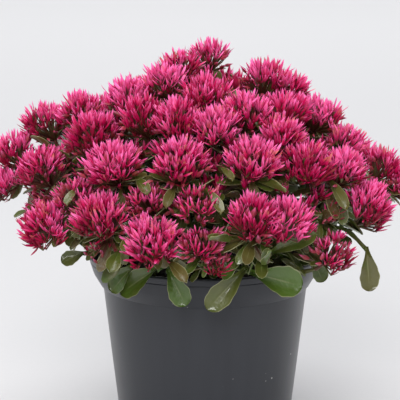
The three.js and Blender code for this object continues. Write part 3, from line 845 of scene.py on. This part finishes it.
def bud_finish():
    """Dusky red buds with pale tips."""
    finish = Finish("buds")
    along, _ = finish.uv("surface")
    tone, _ = finish.uv("tone")
    # Tone: random for edge buds; on closed flowers it also holds painted light, darker where they
    # face down
    tint = tone.mix(paint("petal_base"), paint("bud"))
    bud = (along.between(0.45, 1.0) * 0.55).mix(tint, paint("petal_tip_and_highlight"))
    mottle = finish.noise(700.0)
    bud = (mottle.between(0.5, 0.75) * 0.35).mix(bud, paint("calyx"))
    return finish.feed(Base_Color=bud, Roughness=0.45,
                       Normal=finish.bump(mottle, 0.3, 0.0002))


def stalk_finish():
    """Red-brown stalks that run to green, with green cups."""
    finish = Finish("stalks")
    tone, _ = finish.uv("tone")
    blotch = finish.noise(160.0, 3.0)
    green = (blotch.between(0.42, 0.62) * 0.7 + (tone - 0.5) * 0.8).clamped()
    stalk = green.mix(paint("stalk"), paint("calyx"))
    return finish.feed(Base_Color=stalk, Roughness=0.5,
                       Normal=finish.bump(finish.noise(600.0), 0.3, 0.0003))


def blade_finish(name):
    """Fleshy leaves with a pale margin, a faint midrib and bronze blotches."""
    finish = Finish(name)
    along, across = finish.uv("surface")
    tone, _ = finish.uv("tone")
    blotch = finish.noise(95.0, 3.0)
    fine = finish.noise(520.0, 3.0)
    bronzed = (tone * 1.1 + (blotch - 0.5) * 1.6 * tone.between(-0.1, 0.35)).clamped()
    blade = bronzed.mix(paint("leaf"), paint("leaf_bronze"))
    light = (blotch.between(0.35, 0.7) * 0.35).mix(blade, paint("leaf", 1.45))
    rib = (1 - across.between(0.0, 0.1)) * (1 - along.between(0.55, 0.95)) * 0.3
    ribbed = rib.mix(light, paint("leaf_margin"))
    rim = across.between(0.91, 1.0) * along.between(0.12, 0.4) * (0.5 + fine * 0.5)
    edged = rim.mix(ribbed, paint("leaf_margin"))
    height = fine * 0.25 + blotch
    return finish.feed(Base_Color=edged, Roughness=0.3 + blotch * 0.16, Coat_Weight=0.55,
                       Coat_Roughness=0.09, Normal=finish.bump(height, 0.6, 0.0022))


def stem_finish():
    """Green stems with bronze and red-brown blotches, redder higher up."""
    finish = Finish("stems_and_leaves")
    height = finish.height()
    blotch = finish.noise(70.0, 3.0)
    fine = finish.noise(420.0, 3.0)
    bronzed = (blotch.between(0.35, 0.7) * 0.6 + height.between(0.11, 0.19) * 0.55).clamped()
    green = bronzed.mix(paint("leaf"), paint("leaf_bronze"))
    red = fine.between(0.5, 0.72) * height.between(0.12, 0.2) * 0.6
    return finish.feed(Base_Color=red.mix(green, paint("stalk")), Roughness=0.42 + fine * 0.15,
                       Coat_Weight=0.15, Coat_Roughness=0.25,
                       Normal=finish.bump(fine + blotch, 0.3, 0.0005))


def pot_finish():
    """Satin anthracite plastic with faint streaks painted as soft vertical reflections, rubbed
    patches and a little dust.
    """
    finish = Finish("pot_plastic")
    streaks_and_sheen = finish.noise(1.0, at=finish.stretched((120.0, 120.0, 4.0)))
    patches = finish.noise(26.0, 3.0)
    specks = finish.cells(150.0)
    which = finish.noise(60.0, 1.0)
    dust = (1 - specks.between(0.03, 0.085)) * which.between(0.54, 0.6)
    # Painted reflection: the streaks lighten and darken the plastic in soft vertical bands; the
    # patches vary its tone
    tone_and_painted_light = (streaks_and_sheen - 0.5) * 0.9 + (patches - 0.5) * 0.4 + 0.5
    body = tone_and_painted_light.clamped().mix(paint("pot", 0.82), paint("pot", 1.2))
    dusty = (dust * 0.85).mix(body, (0.6, 0.6, 0.58, 1.0))
    rough = 0.34 + (patches - 0.5) * 0.22 + dust * 0.3
    height = streaks_and_sheen * 0.3 + finish.noise(900.0) * 0.5
    return finish.feed(Base_Color=dusty, Roughness=rough, Specular_IOR_Level=0.4,
                       Normal=finish.bump(height, 0.12, 0.0003))


def compost_finish():
    """Dark fibrous compost."""
    finish = Finish("compost")
    coarse = finish.noise(240.0, 4.0)
    fine = finish.noise(900.0, 3.0)
    body = coarse.between(0.3, 0.75).mix(paint("compost", 0.6), paint("compost", 2.2))
    return finish.feed(Base_Color=body, Roughness=0.9,
                       Normal=finish.bump(coarse + fine * 0.5, 0.8, 0.0012))


def crumb_finish():
    """Crumbs of bark, brown or black by their tone, and white grit."""
    finish = Finish("crumbs")
    tone, _ = finish.uv("tone")
    fine = finish.noise(700.0, 3.0)
    bark = (tone * 1.3).clamped().mix(paint("compost"), paint("compost", 3.2))
    grit = tone.between(0.85, 0.88).mix(bark, paint("grit"))
    return finish.feed(Base_Color=(fine * 0.4).mix(grit, paint("compost")), Roughness=0.85,
                       Normal=finish.bump(fine, 0.6, 0.0005))


def backdrop_finish():
    """Pale matt paper."""
    finish = Finish("backdrop")
    tooth = finish.noise(300.0)
    pale = tooth.mix(paint("backdrop", 0.97), paint("backdrop"))
    return finish.feed(Base_Color=pale, Roughness=0.95, Specular_IOR_Level=0.1)


# Models of the parts that repeat, in shares of their own length


def petal_model(openness):
    """A slender keeled petal that leans out from the flower's axis and turns up at its tip."""
    half = sizes().petal_width / 2
    stations = [(0.0, 0.45), (0.42, 1.0), (0.78, 0.78)]

    def lean(s):
        return 0.05 + openness * s**0.8 - 0.1 * openness * s**3

    rings = [((0, -lean(s), s), half * w / 0.87, 0.03 * (1.25 - 0.5 * s)) for s, w in stations]
    return Model.of(loft("petal", 3, rings, (0, -lean(1.0), 1.0), turn=math.pi))


def flower_model(openness, uneven):
    """Five petals round five carpels and five stamens, all shorter than the petals."""
    petal = petal_model(openness)
    carpels = Model.of(revolved("carpels", 5, [(0.08, 0.04)], 0.5))
    carpels.along = carpels.along * 0.15
    stamen = Model.of(loft("stamen", 3, [((0, -0.03, 0.05), 0.016, 0.016)], (0, -0.13, 0.7)))
    parts = [carpels]
    for n in range(5):
        angle = TURN * n / 5
        tilt = uneven * math.sin(2.4 * n + 40 * openness)
        parts.append(petal.turned(angle + tilt, tilt))
        parts.append(stamen.turned(angle + math.pi / 5))
    return Model.joined(parts)


def stalk_model(sides):
    rings = [((0, 0, 0), 1.0, 1.0), ((0, 0, 1.0), 0.85, 0.85)]
    return Model.of(loft("stalk", sides, rings, None))


def blade_half_width(s):
    """Half width of a spoon-shaped blade along its length, as a share of its width."""
    if s > WIDEST:
        return 0.5 * math.sqrt(max(0.0, 1 - ((s - WIDEST) / (1 - WIDEST)) ** 2))
    grown = s / WIDEST
    return 0.5 * (0.15 + 0.85 * grown**2 * (3 - 2 * grown))


def blade_model(stations, sides, shares):
    """A spoon-shaped fleshy blade of unit length: shares are its width, thickness, cup, droop,
    and the depth of its scallops."""
    width, thick, cup, droop, scallop = shares
    rings = []
    for k in range(stations):
        s = math.sin(math.pi / 2 * k / stations)
        wave = 1 - scallop * (0.5 - 0.5 * math.cos(TURN * 4.5 * (s - 0.45))) * (s > 0.45)
        half = width * blade_half_width(s) * wave
        depth = 0.5 + 0.5 * math.sin(math.pi * min(1, s + 0.1) ** 1.2)
        rings.append(((0, -droop * s * s, s), max(half, 0.02), depth))

    def arch(corner):
        """How far a corner of the round ring moves to the cupped, keeled section."""
        flattened = corner.y * (thick / 2 * math.sqrt(1.05 - corner.x**2) - 1)
        keel = 0.25 * thick if corner.y > 0.99 else 0
        return 0, cup * corner.x**2 + flattened - keel, 0

    return Model.of(loft("blade", sides, rings, (0, -droop, 1.0), shape=arch))


def crumb_model():
    """A rough round crumb with one side pressed in."""
    deselect()
    bpy.ops.mesh.primitive_ico_sphere_add(subdivisions=1, radius=1, location=(0, 0, 0))
    piece = bpy.context.object
    piece.name = "crumb"
    select_points(piece, lambda co: co.x + co.z > 0.9)
    bpy.ops.transform.resize(value=(0.7, 0.8, 0.6))
    bpy.ops.object.mode_set(mode="OBJECT")
    return Model.of(piece)


# Flower heads


def cap_direction(turn, level, angle):
    """A direction from a lobe's middle, level being its cosine to the lobe's axis."""
    flat = math.sqrt(1 - level**2)
    return turn @ np.array([flat * math.cos(angle), flat * math.sin(angle), level])


def lobe_flowers(lobe, rng):
    """The feet, axes, lengths and painted light of a lobe's flowers, drawn together into tufts,
    each kept on its side of the planes that part the lobe from its neighbours. The painted light
    makes flowers that face up or stand in a tuft's middle lighter, and those that face down darker."""
    radius, spin, turn = lobe["radius"], lobe["spin"], lobe["turn"]
    middle, axis = np.array(lobe["at"]), np.array(lobe["axis"])
    kind = LOBE_KINDS[lobe["kind"]]
    tufts = [cap_direction(turn, 0.98, spin)]
    for n in range(TUFTS):
        angle = spin + n * 0.4 * math.pi + rng.uniform(-0.3, 0.3)
        tufts.append(cap_direction(turn, rng.uniform(0.45, 0.75), angle))
    tufts = np.array(tufts)
    heights = rng.uniform(0.86, 1.06, len(tufts))
    count = round(sizes().flower_crowding * radius**2)
    edge = math.cos(math.radians(kind["cap"]))
    found = []
    for n in range(count):
        level = 1 - (n + 0.5) / count * (1 - edge)
        out = cap_direction(turn, level, n * GOLDEN_ANGLE + spin + rng.uniform(-0.25, 0.25))
        nearest = (tufts @ out).argmax()
        inside = (float(tufts[nearest] @ out) - TUFT_EDGE) / TUFT_FADE
        inside = min(1.0, max(0.0, inside))
        foot = (out * rng.uniform(*kind["feet"]) - axis * 0.1) * radius
        lean = sum(share * way for share, way in zip(LEANS, (out, tufts[nearest], axis, UP)))
        lean += rng.normal(0, 0.24, 3)
        lean /= np.linalg.norm(lean)
        reach = radius * (0.72 + 0.3 * inside) * heights[nearest] * rng.uniform(0.84, 1.1)
        along = np.dot(foot, lean)
        span = math.sqrt(max(0.0, along**2 + reach**2 - np.dot(foot, foot))) - along
        tip = foot + lean * span
        share = 1.0
        for normal, limit in lobe["limits"]:
            beyond = float(np.dot(tip, normal))
            if beyond > limit + OVERLAP:
                share = min(share, (limit + OVERLAP) / beyond)
        if share > LEAST_SHARE and span > SHORTEST_FLOWER:
            # Painted light: a lighter tone for flowers facing up or in a tuft's middle, darker
            # facing down
            painted_light = 0.5 + 0.5 * float(out[2]) + 0.3 * inside
            found.append((middle + foot * share, lean, min(span * share, LONGEST_FLOWER), painted_light))
    return [np.array(part) for part in zip(*found)]


def around_lobe(lobe, rng, count, level, reach):
    """Directions and points round the lower part of a lobe, at levels in degrees and at reaches
    in shares of its radius."""
    outs, points = [], []
    for n in range(count):
        angle = (n + rng.uniform(-0.3, 0.3)) / count * TURN + lobe["spin"]
        out = cap_direction(lobe["turn"], math.sin(math.radians(rng.uniform(*level))), angle)
        point = out * lobe["radius"] * rng.uniform(*reach)
        if all(np.dot(point, normal) < limit for normal, limit in lobe["limits"]):
            outs.append(out)
            points.append(np.array(lobe["at"]) + point)
    return np.array(outs).reshape(-1, 3), np.array(points).reshape(-1, 3)


class Head:
    """One flower head as it grows: its petals and buds, and apart from them its stalks, cups
    and small leaves."""

    def __init__(self, models, rng):
        self.models, self.rng = models, rng
        self.bloom, self.green = Gathering(), Gathering()

    def stalk(self, model, start, end, thickness, tone):
        """One stalk between two points."""
        place = spanning([start], [end], thickness)
        self.green.add(self.models[model], place, [tone], 0)

    def pedicels(self, start, ends, thickness):
        """Fine stalks from one point to each of several."""
        places = spanning(np.tile(start, (len(ends), 1)), ends, thickness)
        self.green.add(self.models["pedicel"], places, self.rng.uniform(0, 0.7, len(ends)), 0)

    def leaves(self, feet, axes, lengths, tones, lowest=-math.inf):
        """Small leaves with tones drawn between bounds, except where one would hang below
        the lowest level."""
        places = leaf_places(feet, axes, lengths, 0.5, self.rng)
        tones = self.rng.uniform(*tones, len(feet))
        high = feet[:, 2] + axes[:, 2] * lengths > lowest
        self.green.add(self.models["bract"], places[high], tones[high], 1)

    def grow_lobe(self, lobe, start):
        """One lobe on its stalk from start: flowers above, buds round the edge, leaves below."""
        radius, middle = lobe["radius"], np.array(lobe["at"])
        down = start - middle
        down /= np.linalg.norm(down)
        hub = middle + down * radius * HUB_DEPTH
        self.stalk("stalk", start, hub, LOBE_STALK, 0.4)
        self.grow_flowers(lobe, hub)
        self.grow_buds(lobe, hub)
        for level, near, far, grown in (((-25, 30), -0.1, 0.35, 0.8), ((-40, 15), 0.5, 1.1, 1.05)):
            outs, _ = around_lobe(lobe, self.rng, sizes().bracts_per_lobe, level, (0.1, 0.12))
            feet = hub + down * radius * self.rng.uniform(near, far, len(outs))[:, None]
            lengths = radius * grown * self.rng.uniform(0.75, 1.2, len(outs))
            self.leaves(feet, outs, lengths, (0.25, 1), LOWEST_LEAF)
        for leaf in lobe["leaves"]:
            self.hang_leaf(hub, *leaf)
        for point in lobe["gaps"]:
            self.grow_late_flowers(point, hub)

    def grow_flowers(self, lobe, hub):
        """The lobe's flowers, some still closed, with their cups and stalks."""
        rng, kind = self.rng, LOBE_KINDS[lobe["kind"]]
        feet, axes, lengths, painted_lights = lobe_flowers(lobe, rng)
        lengths = lengths * kind["long"]
        flowers = self.models[lobe["kind"]]
        closed = rng.uniform(0, 1, len(feet)) < kind["closed"]
        kinds = np.where(closed, -1, rng.integers(0, len(flowers), len(feet)))
        # Lobe tone: random, darker on young lobes partly as painted shade; each flower adds painted
        # light by how it faces
        tone_and_painted_light = rng.normal(kind["tone_and_painted_light"], 0.11)
        tones = np.clip(tone_and_painted_light + 0.6 * painted_lights + rng.normal(0, 0.18, len(feet)), 0, 1)
        spins = rng.uniform(0, TURN, len(feet))
        for n, model in enumerate([*flowers, self.models["bud"]]):
            own, bud = (closed, 1) if n == len(flowers) else (kinds == n, 0)
            tall = lengths[own] * (0.8 if bud else 1.0)
            places = standing(feet[own], axes[own], spins[own], lengths[own], tall)
            self.bloom.add(model, places, tones[own], bud)
        self.green.add(self.models["calyx"], standing(feet, axes, spins, lengths, lengths),
                       rng.uniform(0.0, 0.9, len(feet)), 0)
        self.pedicels(hub, feet - axes * lengths[:, None] * 0.12, FLOWER_STALK)

    def grow_buds(self, lobe, hub):
        """Buds round the lobe's lower edge, on stalks, where they stand above its hub."""
        rng = self.rng
        count = round(sizes().buds_per_lobe * LOBE_KINDS[lobe["kind"]]["buds"])
        outs, points = around_lobe(lobe, rng, count, (-30, 25), (0.45, 0.78))
        high = points[:, 2] > hub[2]
        outs, points = outs[high], points[high]
        lean = unit(outs + 0.5 * UP + rng.normal(0, 0.25, points.shape))
        tall = rng.uniform(3.2, 6.2, len(points))
        places = standing(points, lean, rng.uniform(0, 6, len(points)), tall, tall)
        self.bloom.add(self.models["bud"], places, rng.uniform(0, 1, len(points)), 1)
        self.pedicels(hub, points + lean * 0.3, BUD_STALK)

    def grow_late_flowers(self, point, hub):
        """A few small dusky flowers, buds and leaves in a gap, on a side stalk from the hub."""
        rng, count = self.rng, LATE_COUNT
        out = np.array(mound_normal(Vector(point)))
        joint = point - out * 7
        self.stalk("pedicel", hub, joint, SIDE_STALK, 0.4)
        for bud, low, high in ((0, 6, 9.5), (1, 3.2, 5.5)):
            axes = unit(out * 0.6 + 0.7 * UP + rng.normal(0, 0.4, (count, 3)))
            lengths = rng.uniform(low, high, count)
            feet = point - out * 4 + axes * rng.uniform(0, 3, count)[:, None]
            feet += rng.normal(0, 1.8, (count, 3))
            places = standing(feet, axes, rng.uniform(0, 6, count), lengths, lengths)
            if bud:
                self.bloom.add(self.models["bud"], places, rng.uniform(0, 1, count), 1)
            else:
                flower = self.models["open"][rng.integers(len(self.models["open"]))]
                self.bloom.add(flower, places, rng.uniform(0.1, 0.6, count), 0)
                self.green.add(self.models["calyx"], places, rng.uniform(0, 0.9, count), 0)
            self.pedicels(joint, feet, BUD_STALK)
        axes = out + rng.normal(0, 0.7, (3, 3))
        self.leaves(np.tile(joint, (3, 1)), axes, rng.uniform(9, 14, 3), (0.3, 1))

    def hang_leaf(self, hub, start, end, width, bronze):
        """One of the leaves that show between the heads, on its own stalk from the hub."""
        reach = float(np.linalg.norm(end - start))
        place = leaf_places([start], [end - start], [reach], 0.25, self.rng)
        place[0, :3, 0] *= width / reach
        self.stalk("pedicel", hub, start + (end - start) * 0.06, SIDE_STALK, 0.5)
        self.green.add(self.models["gap_leaf"], place, [bronze], 1)


def grow_head(number, lobes, models, finishes, rng):
    """The petals and buds of one head as one piece, and its stalks, cups and small leaves as
    another."""
    main, head = lobes[0], Head(models, rng)
    foot = np.array(main["at"] - main["axis"] * (0.5 * main["radius"] + STALK_LENGTH))
    joint = foot + np.array(main["axis"]) * 0.6 * STALK_LENGTH
    for start, lobe in zip((foot, joint), lobes):
        head.grow_lobe(lobe, start)
    petals = head.bloom.piece(f"petals_{number}", finishes["bloom"], 50)
    stalks = head.green.piece(f"stalks_{number}", finishes["green"], 50)
    stand_for(petals, f"flower_head_{number}")
    stand_for(stalks, f"flower_head_{number}")


class STONECROP_OT_flower_heads(bpy.types.Operator):
    """Grow every flower head: petals, buds, stalks and small leaves"""

    bl_idname = "stonecrop.flower_heads"
    bl_label = "Flower heads"

    def execute(self, context):
        models = {
            "open": [flower_model(openness, 0.2) for openness in (0.2, 0.34, 0.5, 0.66)],
            "young": [flower_model(openness, 0.06) for openness in (0.3, 0.5, 0.7)],
            "calyx": Model.of(revolved("calyx", 5, [(0.04, -0.16), (0.13, 0.12)], 0.3)),
            "bud": Model.of(revolved("bud", 5, [(0.1, 0.0), (0.22, 0.35)], 1.0)),
            "stalk": stalk_model(8),
            "pedicel": stalk_model(3),
            "gap_leaf": blade_model(14, 10, (1.0, 0.09, 0.16, 0.1, 0.05)),
            "bract": blade_model(5, 6, (0.42, 0.09, 0.08, 0.12, 0.0)),
        }
        finishes = {
            "bloom": [petal_finish(), bud_finish()],
            "green": [stalk_finish(), blade_finish("small_leaves")],
        }
        rng = np.random.default_rng(7)
        lobes = lay_out_lobes()
        hang_gap_leaves(lobes)
        fill_gaps(lobes)
        for number, members in enumerate(group_lobes(lobes), 1):
            grow_head(number, members, models, finishes, rng)
        return {"FINISHED"}


# Stems and leaves


def bunches():
    """The CAD nodes of the leafy stems, by name."""
    return {name: node for name, node in frame["nodes"].items() if name.startswith("leafy_stems")}


def rim_leaf_frame(foot, tip):
    """A rim leaf's place: Z along the blade, Y out of its upper face."""
    start, end = from_view(*foot), from_view(*tip)
    along = (end - start).normalized()
    outward = Vector((start.x, start.y, 0)).normalized() + Vector((0, 0, 0.5))
    side = along.cross(outward).normalized()
    normal = side.cross(along).normalized()
    return start, along, side, normal, (end - start).length


def leaf_spots(node):
    """Feet and directions, in millimetres, for leaves along the stems of a CAD node, whose
    stems are three-sided with long narrow faces."""
    points = corners_of(node.data) * 1000
    low, high = STEM_FACE_WIDTHS
    spots = []
    for face in node.data.polygons:
        corners = points[list(face.vertices)]
        sides = corners[[1, 2, 0]] - corners
        spans = np.linalg.norm(sides, axis=1)
        if low < spans.min() < high and spans.max() > STEM_FACE_LENGTH:
            along = sides[spans.argmax()] / spans.max()
            along *= 1 if along[2] > 0 else -1
            spots.append((corners.mean(0), spans.max(), np.array(face.normal), along))
    return spots


def in_rim_leaf(point):
    """Whether a point, in millimetres, belongs to the blade of one of the rim leaves."""
    for foot, tip, width, _, _ in RIM_LEAVES:
        start, along, side, normal, reach = rim_leaf_frame(foot, tip)
        offset = point - start
        s = offset.dot(along) / reach
        if 0.16 < s < 1.05 and abs(offset.dot(side)) < width * 0.6 + 0.5 and (
                abs(offset.dot(normal) + RIM_DROOP * s * s * reach) < 2.6):
            return True
    return False


class STONECROP_OT_stems(bpy.types.Operator):
    """Smooth the stems over the solids, without the blades of the rim leaves"""

    bl_idname = "stonecrop.stems"
    bl_label = "Stems"

    def execute(self, context):
        finish = stem_finish()
        for name, node in bunches().items():
            deselect()
            piece = node.copy()
            piece.data = node.data.copy()
            piece.parent = None
            piece.name = name.replace("leafy_", "smooth_")
            for key in [key for key in piece.keys() if key.startswith("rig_")]:
                del piece[key]
            context.collection.objects.link(piece)
            piece.hide_render = False
            piece.hide_set(False)
            recalculate(piece)
            select_points(piece, lambda co: in_rim_leaf(co * 1000))
            bpy.ops.mesh.delete(type="VERT")
            bpy.ops.mesh.select_all(action="SELECT")
            bpy.ops.mesh.fill_holes(sides=0)
            bpy.ops.mesh.select_all(action="DESELECT")
            bpy.ops.mesh.select_non_manifold(
                use_wire=False, use_multi_face=False, use_non_contiguous=False, use_verts=False)
            bpy.ops.mesh.select_linked()
            bpy.ops.mesh.delete(type="VERT")
            edited(piece, bpy.ops.mesh.normals_make_consistent, inside=False)
            apply_modifier(piece, "SUBSURF", levels=1, render_levels=1)
            edited(piece, bpy.ops.transform.shrink_fatten, value=sizes().stem_swell)
            piece.data.materials.clear()
            dress(piece, 60, finish, name)
        return {"FINISHED"}


class STONECROP_OT_stem_leaves(bpy.types.Operator):
    """Grow small leaves along the stems, under the flower heads"""

    bl_idname = "stonecrop.stem_leaves"
    bl_label = "Leaves along the stems"

    def execute(self, context):
        rng = np.random.default_rng(5)
        leaf = blade_model(5, 6, (0.44, 0.09, 0.08, 0.14, 0.0))
        finish = blade_finish("stem_leaves")
        for name, node in bunches().items():
            feet, axes = [], []
            for middle, span, normal, along in leaf_spots(node):
                rising = (middle[2] - LEAVES_FROM) / LEAVES_THICKEN
                rising = min(1.0, max(FEWEST_LEAVES, rising))
                for _ in range(rng.poisson(rising * span / sizes().leaf_spacing / 1000)):
                    foot = middle + along * span * rng.uniform(-0.3, 0.3) - normal * 0.3
                    axis = normal + along * rng.uniform(0.1, 0.9) + rng.normal(0, 0.25, 3)
                    if foot[2] + 12 * min(0, axis[2]) > LOWEST_LEAF - 4:
                        feet.append(foot)
                        axes.append(axis)
            lengths = rng.uniform(9, 19, len(feet))
            heights = np.array(feet)[:, 2]
            tones = np.clip((heights - 120) / 90 + rng.normal(0.15, 0.25, len(feet)), 0, 1)
            leaves = Gathering()
            leaves.add(leaf, leaf_places(feet, axes, lengths, 0.35, rng), tones, 0)
            number = name.split("_")[-1]
            piece = leaves.piece(f"stem_leaves_{number}", [finish], 50)
            stand_for(piece, name)
        return {"FINISHED"}


class STONECROP_OT_rim_leaves(bpy.types.Operator):
    """Make the large scalloped leaves that hang over the rim"""

    bl_idname = "stonecrop.rim_leaves"
    bl_label = "Rim leaves"

    def execute(self, context):
        finish = blade_finish("rim_leaves")
        for number, (foot, tip, width, bronze, twist) in enumerate(RIM_LEAVES, 1):
            start, along, side, normal, reach = rim_leaf_frame(foot, tip)
            turn = Matrix.Rotation(math.radians(twist), 3, along)
            side, normal = turn @ side, turn @ normal
            thick = sizes().leaf_thickness * 1000 / reach
            cup = 0.25 * width / reach
            model = blade_model(30, 14, (width / reach, thick, cup, RIM_DROOP, 0.07))
            leaf = Gathering()
            leaf.add(model, [framed(start, (side, normal, along), reach)], [bronze], 0)
            piece = leaf.piece(f"rim_leaf_{number}", [finish], 70)
            recalculate(piece)
            nearest = min(bunches(), key=lambda name: leaf_gap(name, start / 1000))
            stand_for(piece, nearest)
        return {"FINISHED"}


def leaf_gap(name, point):
    """The distance from a point to the closest corner of a CAD node."""
    return min((v.co - point).length for v in frame["nodes"][name].data.vertices)


# Pot and compost


class STONECROP_OT_pot(bpy.types.Operator):
    """Turn the pot, with its collar, its raised ring under the floor and its drain holes"""

    bl_idname = "stonecrop.pot"
    bl_label = "Pot"

    def execute(self, context):
        wall = sizes().pot_wall
        profile = [
            (0.018, 0.0), (0.0202, 0.0022), (0.0368, 0.0022), (0.039, 0.0), (0.0451, 0.0),
            (0.0459, 0.0008), (0.0482, 0.0206), (0.0524, 0.0565), (0.0566, 0.0944),
            (0.0568, 0.0951), (0.0579, 0.0953), (0.0583, 0.0958), (0.0617, 0.1016),
            (0.0622, 0.1028), (0.06395, 0.1085),
            (0.06375, 0.1089), (0.0642, 0.1094), (0.065, 0.1122), (0.0646, 0.113),
            (0.065 - wall - 0.0004, 0.113), (0.0617 - wall, 0.1008), (0.057 - wall, 0.094),
            (0.0459 - wall, wall), (0.0394, wall), (0.0364, 0.0022 + wall),
            (0.0198, 0.0022 + wall), (0.0176, wall),
        ]
        pot = revolved("pot_shell", 128, profile, wall)
        deselect()
        for n in range(DRAIN_HOLES):
            angle = (n + 0.5) * TURN / DRAIN_HOLES
            bpy.ops.mesh.primitive_cylinder_add(
                vertices=24, radius=HOLE_RADIUS, depth=0.02,
                location=(HOLE_RING * math.cos(angle), HOLE_RING * math.sin(angle), 0.003))
            cutter = context.object
            apply_modifier(pot, "BOOLEAN", operation="DIFFERENCE", object=cutter, solver="EXACT")
            take(cutter)
            bpy.ops.object.delete()
        apply_modifier(pot, "BEVEL", width=0.00035, segments=2, limit_method="ANGLE",
                       angle_limit=math.radians(28))
        recalculate(pot)
        dress(pot, 32, pot_finish(), "pot")
        return {"FINISHED"}


class STONECROP_OT_compost(bpy.types.Operator):
    """Fill the pot with compost and strew crumbs and grit over it"""

    bl_idname = "stonecrop.compost"
    bl_label = "Compost"

    def execute(self, context):
        low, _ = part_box("soil")
        profile = [(0.0445, low.z), (0.0552, 0.0938), (SOIL_BRIM, 0.0997)]
        profile += [(SOIL_BRIM * share, SOIL_TOP) for share in np.linspace(0.95, 0.06, 20)]
        soil = revolved("compost_body", 72, profile, SOIL_TOP)
        texture = bpy.data.textures.new("lumps", "CLOUDS")
        texture.noise_scale = 0.012
        top = soil.vertex_groups.new(name="top")
        top.add([v.index for v in soil.data.vertices if v.co.z > SOIL_TOP - 0.0005], 1.0, "REPLACE")
        apply_modifier(soil, "DISPLACE", texture=texture, strength=0.0032, mid_level=0.5,
                       direction="Z", vertex_group="top")
        dress(soil, 50, compost_finish(), "soil")
        rng = np.random.default_rng(11)
        count = CRUMB_COUNT
        radii = 57 * np.sqrt(rng.uniform(0.02, 1, count))
        angles = rng.uniform(0, TURN, count)
        points = np.stack([radii * np.cos(angles), radii * np.sin(angles),
                           103.4 + rng.uniform(-0.6, 0.9, count)], 1)
        crumb = sizes().crumb * 1000 * rng.lognormal(0, 0.35, count)
        axes = unit(rng.normal(0, 1, (count, 3)))
        crumbs = Gathering()
        crumbs.add(crumb_model(), standing(points, axes, rng.uniform(0, 6, count), crumb,
                                           crumb * rng.uniform(0.5, 1.1, count)),
                   rng.uniform(0, 1, count), 0)
        piece = crumbs.piece("compost_crumbs", [crumb_finish()], 20)
        stand_for(piece, "soil")
        return {"FINISHED"}


# Stage


def area_light(name, place, target, size, power, tint):
    data = bpy.data.lights.new(name, "AREA")
    data.shape = "RECTANGLE"
    data.size, data.size_y = size
    data.energy = power
    data.color = tint
    light = bpy.data.objects.new(name, data)
    light.location = place
    aim = Vector(target) - Vector(place)
    light.rotation_euler = aim.to_track_quat("-Z", "Y").to_euler()
    bpy.context.collection.objects.link(light)


class STONECROP_OT_stage(bpy.types.Operator):
    """Set the pale floor and backdrop, the soft lights and the camera"""

    bl_idname = "stonecrop.stage"
    bl_label = "Stage"

    def execute(self, context):
        deselect()
        bpy.ops.mesh.primitive_plane_add(size=2, location=(0, 0, 0))
        floor = context.object
        floor.name = "backdrop"
        edited(floor, bpy.ops.transform.resize, value=(4, 4, 1))
        select_points(floor, lambda co: co.y > 3)
        bpy.ops.mesh.extrude_region_move(TRANSFORM_OT_translate={"value": (0, 0, 4)})
        apply_modifier(floor, "BEVEL", width=1.5, segments=12)
        smooth(floor, 60)
        floor.data.materials.append(backdrop_finish())

        area_light("key", (-0.15, -1.4, 1.05), (0, 0, 0.14), (0.7, 0.6), 15.8, (1, 0.985, 0.97))
        area_light("top", (-0.1, -0.15, 1.5), (0, 0, 0.14), (0.9, 0.9), 9.0, (1, 1, 1))
        area_light("back", (0, 2.3, 2.0), (0, 2.1, 0), (5, 2.0), 56.0, (1, 1, 1))
        world = bpy.data.worlds.new("room")
        context.scene.world = world
        world.use_nodes = True
        sky = world.node_tree.nodes["Background"]
        sky.inputs["Color"].default_value = (0.95, 0.96, 1.0, 1)
        sky.inputs["Strength"].default_value = 0.52

        camera = bpy.data.objects.new("camera", bpy.data.cameras.new("camera"))
        context.collection.objects.link(camera)
        camera.data.sensor_width = 36
        camera.data.lens = 153.9
        target = Vector((-0.0028, 0.0058, 0.1402))
        back = Vector((0, -math.cos(VIEW_TILT), math.sin(VIEW_TILT)))
        camera.location = target + back * VIEW_DISTANCE / 1000
        camera.rotation_euler = (-back).to_track_quat("-Z", "Y").to_euler()
        camera.data.clip_start = 0.05
        camera.data.clip_end = 30
        context.scene.camera = camera
        context.scene.view_settings.view_transform = "Standard"
        return {"FINISHED"}


class STONECROP_PT_panel(bpy.types.Panel):
    """Lists the stonecrop's sizes, colours and steps"""

    bl_idname = "STONECROP_PT_panel"
    bl_label = "Potted two-row stonecrop"
    bl_space_type = "VIEW_3D"
    bl_region_type = "UI"
    bl_category = "Stonecrop"

    def draw(self, context):
        for group in (context.scene.stonecrop_sizes, context.scene.stonecrop_colours):
            box = self.layout.box()
            for name in group.__annotations__:
                box.prop(group, name)
        for operator in OPERATORS:
            self.layout.operator(operator.bl_idname)


OPERATORS = [
    STONECROP_OT_pot,
    STONECROP_OT_compost,
    STONECROP_OT_stems,
    STONECROP_OT_stem_leaves,
    STONECROP_OT_rim_leaves,
    STONECROP_OT_flower_heads,
    STONECROP_OT_stage,
]
CLASSES = [StonecropSizes, StonecropColours, *OPERATORS, STONECROP_PT_panel]


def register():
    for cls in CLASSES:
        bpy.utils.register_class(cls)
    bpy.types.Scene.stonecrop_sizes = PointerProperty(type=StonecropSizes)
    bpy.types.Scene.stonecrop_colours = PointerProperty(type=StonecropColours)


def unregister():
    del bpy.types.Scene.stonecrop_colours
    del bpy.types.Scene.stonecrop_sizes
    for cls in reversed(CLASSES):
        bpy.utils.unregister_class(cls)


def main():
    register()
    for operator in OPERATORS:
        getattr(bpy.ops.stonecrop, operator.bl_idname.split(".")[1])()
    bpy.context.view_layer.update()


if __name__ == "__main__":
    main()
